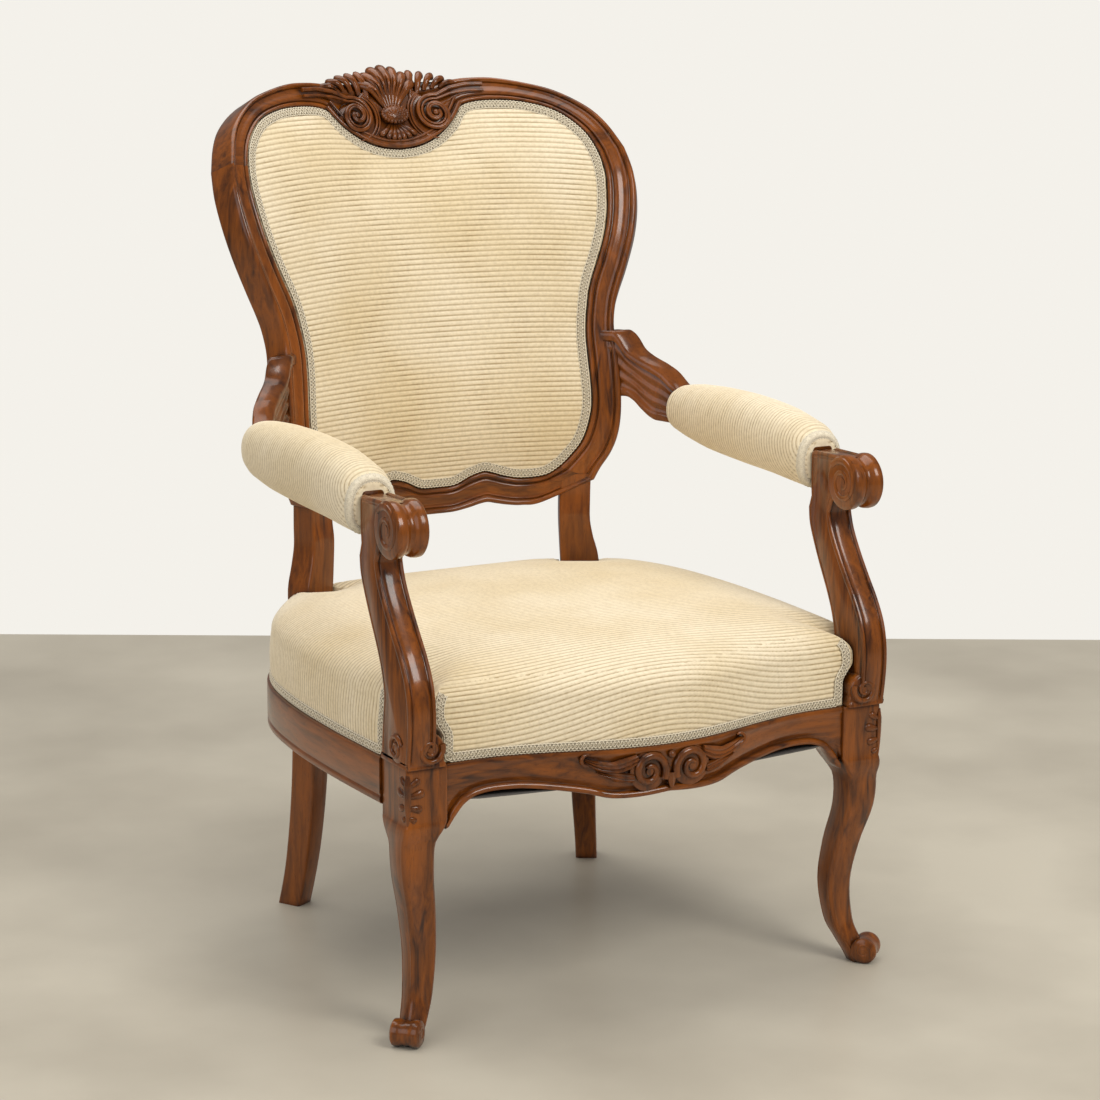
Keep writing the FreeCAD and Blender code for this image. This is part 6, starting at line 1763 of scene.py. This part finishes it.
def build_pads():
    rings = pad_shell()
    count = rings.shape[1]
    points, faces = loft(rings)
    phase = pad_phase(points)
    relief = np.full(len(points), RIB_RELIEF * 0.8)
    relief[:2 * count] = 0
    relief[-2 * count:] = 0
    for name, turn in (("right", 1), ("left", -1)):
        pad = add_cloth(
            f"arm_pad_{name}", points * (turn, 1, 1), faces, phase, relief,
            [f"arm_pad_cover_{name}", f"arm_pad_stuffing_{name}"]
        )
    front = ring_path(PAD_SHARES[0][0], (0.0019, 0.0041, 0.0070))
    rear = ring_path(PAD_SHARES[-1][0], (-0.0070, -0.0041, -0.0019))
    add_pair("pad_braid", braid(front, True) + braid(rear, True), BRAID, "arm_pad_gimp", 0)


def ring_path(end, steps):
    """The line of a braid on the round end of a pad: it follows the second of three sections."""
    share = {back: shrink for shrink, back in PAD_ROUND}
    before, ring, after = (
        np.array(pad_ring(end + step / ARM_RUN, 72, 0.0003, share[abs(step)])) for step in steps
    )
    path = []
    for index in range(len(ring)):
        along = ring[(index + 1) % len(ring)] - ring[index - 1]
        path.append((ring[index], -unit(np.cross(along, after[index] - before[index]))))
    path.append(path[0])
    return path


# Dust cover
def build_dust_cover():
    """The dark cloth under the seat, which sags a little between its tacked edges."""
    low, high = (np.array(corner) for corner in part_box("dust_cover"))
    plan = frame_plan(nodes["dust_cover"])
    top = []
    for v in np.linspace(0, 1, DUST_ROWS):
        y = low[1] + 0.0005 + (high[1] - low[1] - 0.001) * v
        half = float(np.interp(y, plan[:, 0], plan[:, 1])) - 0.0003
        for u in np.linspace(-1, 1, DUST_COLUMNS):
            sag = DUST_SAG * (1 - u ** 4) * (1 - (2 * v - 1) ** 4) + 0.0003 * math.sin(9 * u + 4 * v)
            top.append((u * half, y, high[2] - 0.0003 - sag))
    top, faces = np.array(top), grid_faces(DUST_ROWS, DUST_COLUMNS)
    order = np.arange(len(top)).reshape(DUST_ROWS, DUST_COLUMNS)
    rim = np.concatenate([order[0], order[1:, -1], order[-1, -2::-1], order[-2:0:-1, 0]]).tolist()
    skin = thick_sheet(top, top - UP * DUST_THICKNESS, faces, rim)
    cloth = add_piece("dust_cloth", [skin], DUST_CLOTH, ["dust_cover"], sharp=0)


def finish_bare_nodes():
    """Materials of the solids that no piece replaces."""
    for name, material in BARE_NODES:
        for place in nodes[name].material_slots:
            place.material = material


def frame_plan(node):
    """Half width of a flat node at its depths, from its own corners."""
    points = np.array([vertex.co[:] for vertex in node.data.vertices])
    levels = np.linspace(points[:, 1].min(), points[:, 1].max(), 25)
    reach = []
    for level in levels:
        near = points[np.abs(points[:, 1] - level) < 0.02]
        reach.append(near[:, 0].max())
    return np.column_stack([levels, reach])


# Stage
def build_stage():
    """Pale floor, pale surroundings and soft light."""
    material, tree, shader, place = new_material("floor")
    cloud = noise(tree, place, 2.2, 5.0)
    tone = colour_ramp(tree, cloud, ((0.35, (0.50, 0.455, 0.370)), (0.65, (0.64, 0.590, 0.485))))
    finish(tree, shader, tone, {"Roughness": 0.35, "Specular IOR Level": 0.35})
    floor_piece(material)
    build_world()
    for name, place, size, power, colour in LAMPS:
        light = bpy.data.lights.new(name, "AREA")
        light.size = size
        light.energy = power
        light.color = colour
        lamp = bpy.data.objects.new(name, light)
        lamp.location = place
        lamp.rotation_euler = (Vector(LAMP_AIM) - Vector(place)).to_track_quat("-Z", "Y").to_euler()
        bpy.context.scene.collection.objects.link(lamp)


def build_world():
    """Surroundings that the camera sees in their own colour, and that polish mirrors weakly."""
    world = bpy.context.scene.world or bpy.data.worlds.new("studio")
    bpy.context.scene.world = world
    world.use_nodes = True
    tree = world.node_tree
    tree.nodes.clear()
    light, polish, seen = (
        add_node(tree, "ShaderNodeBackground", {"Color": (*colour, 1), "Strength": strength}).outputs[0]
        for colour, strength in (WORLD_LIGHT, WORLD_POLISH, WORLD_SEEN)
    )
    rays = add_node(tree, "ShaderNodeLightPath").outputs
    lit = add_node(tree, "ShaderNodeMixShader", {0: rays["Is Glossy Ray"], 1: light, 2: polish}).outputs[0]
    shown = add_node(tree, "ShaderNodeMixShader", {0: rays["Is Camera Ray"], 1: lit, 2: seen}).outputs[0]
    add_node(tree, "ShaderNodeOutputWorld", {"Surface": shown})


def floor_piece(material):
    """A wide floor whose far edge, square to the camera of the main view, is the line below the backdrop."""
    turn = math.radians(CAMERA_AZIMUTH)
    right, ahead = Vector((math.cos(turn), math.sin(turn), 0)), Vector((-math.sin(turn), math.cos(turn), 0))
    corners = [right * a * FLOOR_REACH + ahead * b for a, b in (
        (-1, -FLOOR_REACH), (1, -FLOOR_REACH), (1, FLOOR_EDGE), (-1, FLOOR_EDGE)
    )]
    mesh = bpy.data.meshes.new("floor")
    mesh.from_pydata([tuple(corner) for corner in corners], [], [(0, 1, 2, 3)])
    mesh.materials.append(material)
    floor = bpy.data.objects.new("floor", mesh)
    bpy.context.scene.collection.objects.link(floor)
    return floor


def build_camera():
    azimuth, elevation = math.radians(CAMERA_AZIMUTH), math.radians(CAMERA_ELEVATION)
    back = Vector((
        math.sin(azimuth) * math.cos(elevation), -math.cos(azimuth) * math.cos(elevation), math.sin(elevation)
    ))
    data = bpy.data.cameras.new("camera")
    data.sensor_width = CAMERA_SENSOR
    data.lens = CAMERA_LENS
    data.shift_x = CAMERA_SHIFT
    camera = bpy.data.objects.new("camera", data)
    camera.location = Vector(CAMERA_TARGET) + back * CAMERA_DISTANCE
    turn = back.to_track_quat("Z", "Y").to_matrix().to_4x4()
    camera.rotation_euler = (turn @ Matrix.Rotation(math.radians(CAMERA_ROLL), 4, "Z")).to_euler()
    bpy.context.scene.collection.objects.link(camera)
    bpy.context.scene.camera = camera


bpy.context.scene.view_settings.view_transform = "Standard"
build_camera()
build_stage()
build_back_frame()
build_cartouche()
build_front_rail()
build_side_rails()
build_front_legs()
build_arm_posts()
build_arms()
build_back_cover()
build_outside_back()
build_back_gimp()
build_seat_gimp(build_seat_cover())
build_pads()
build_dust_cover()
finish_bare_nodes()
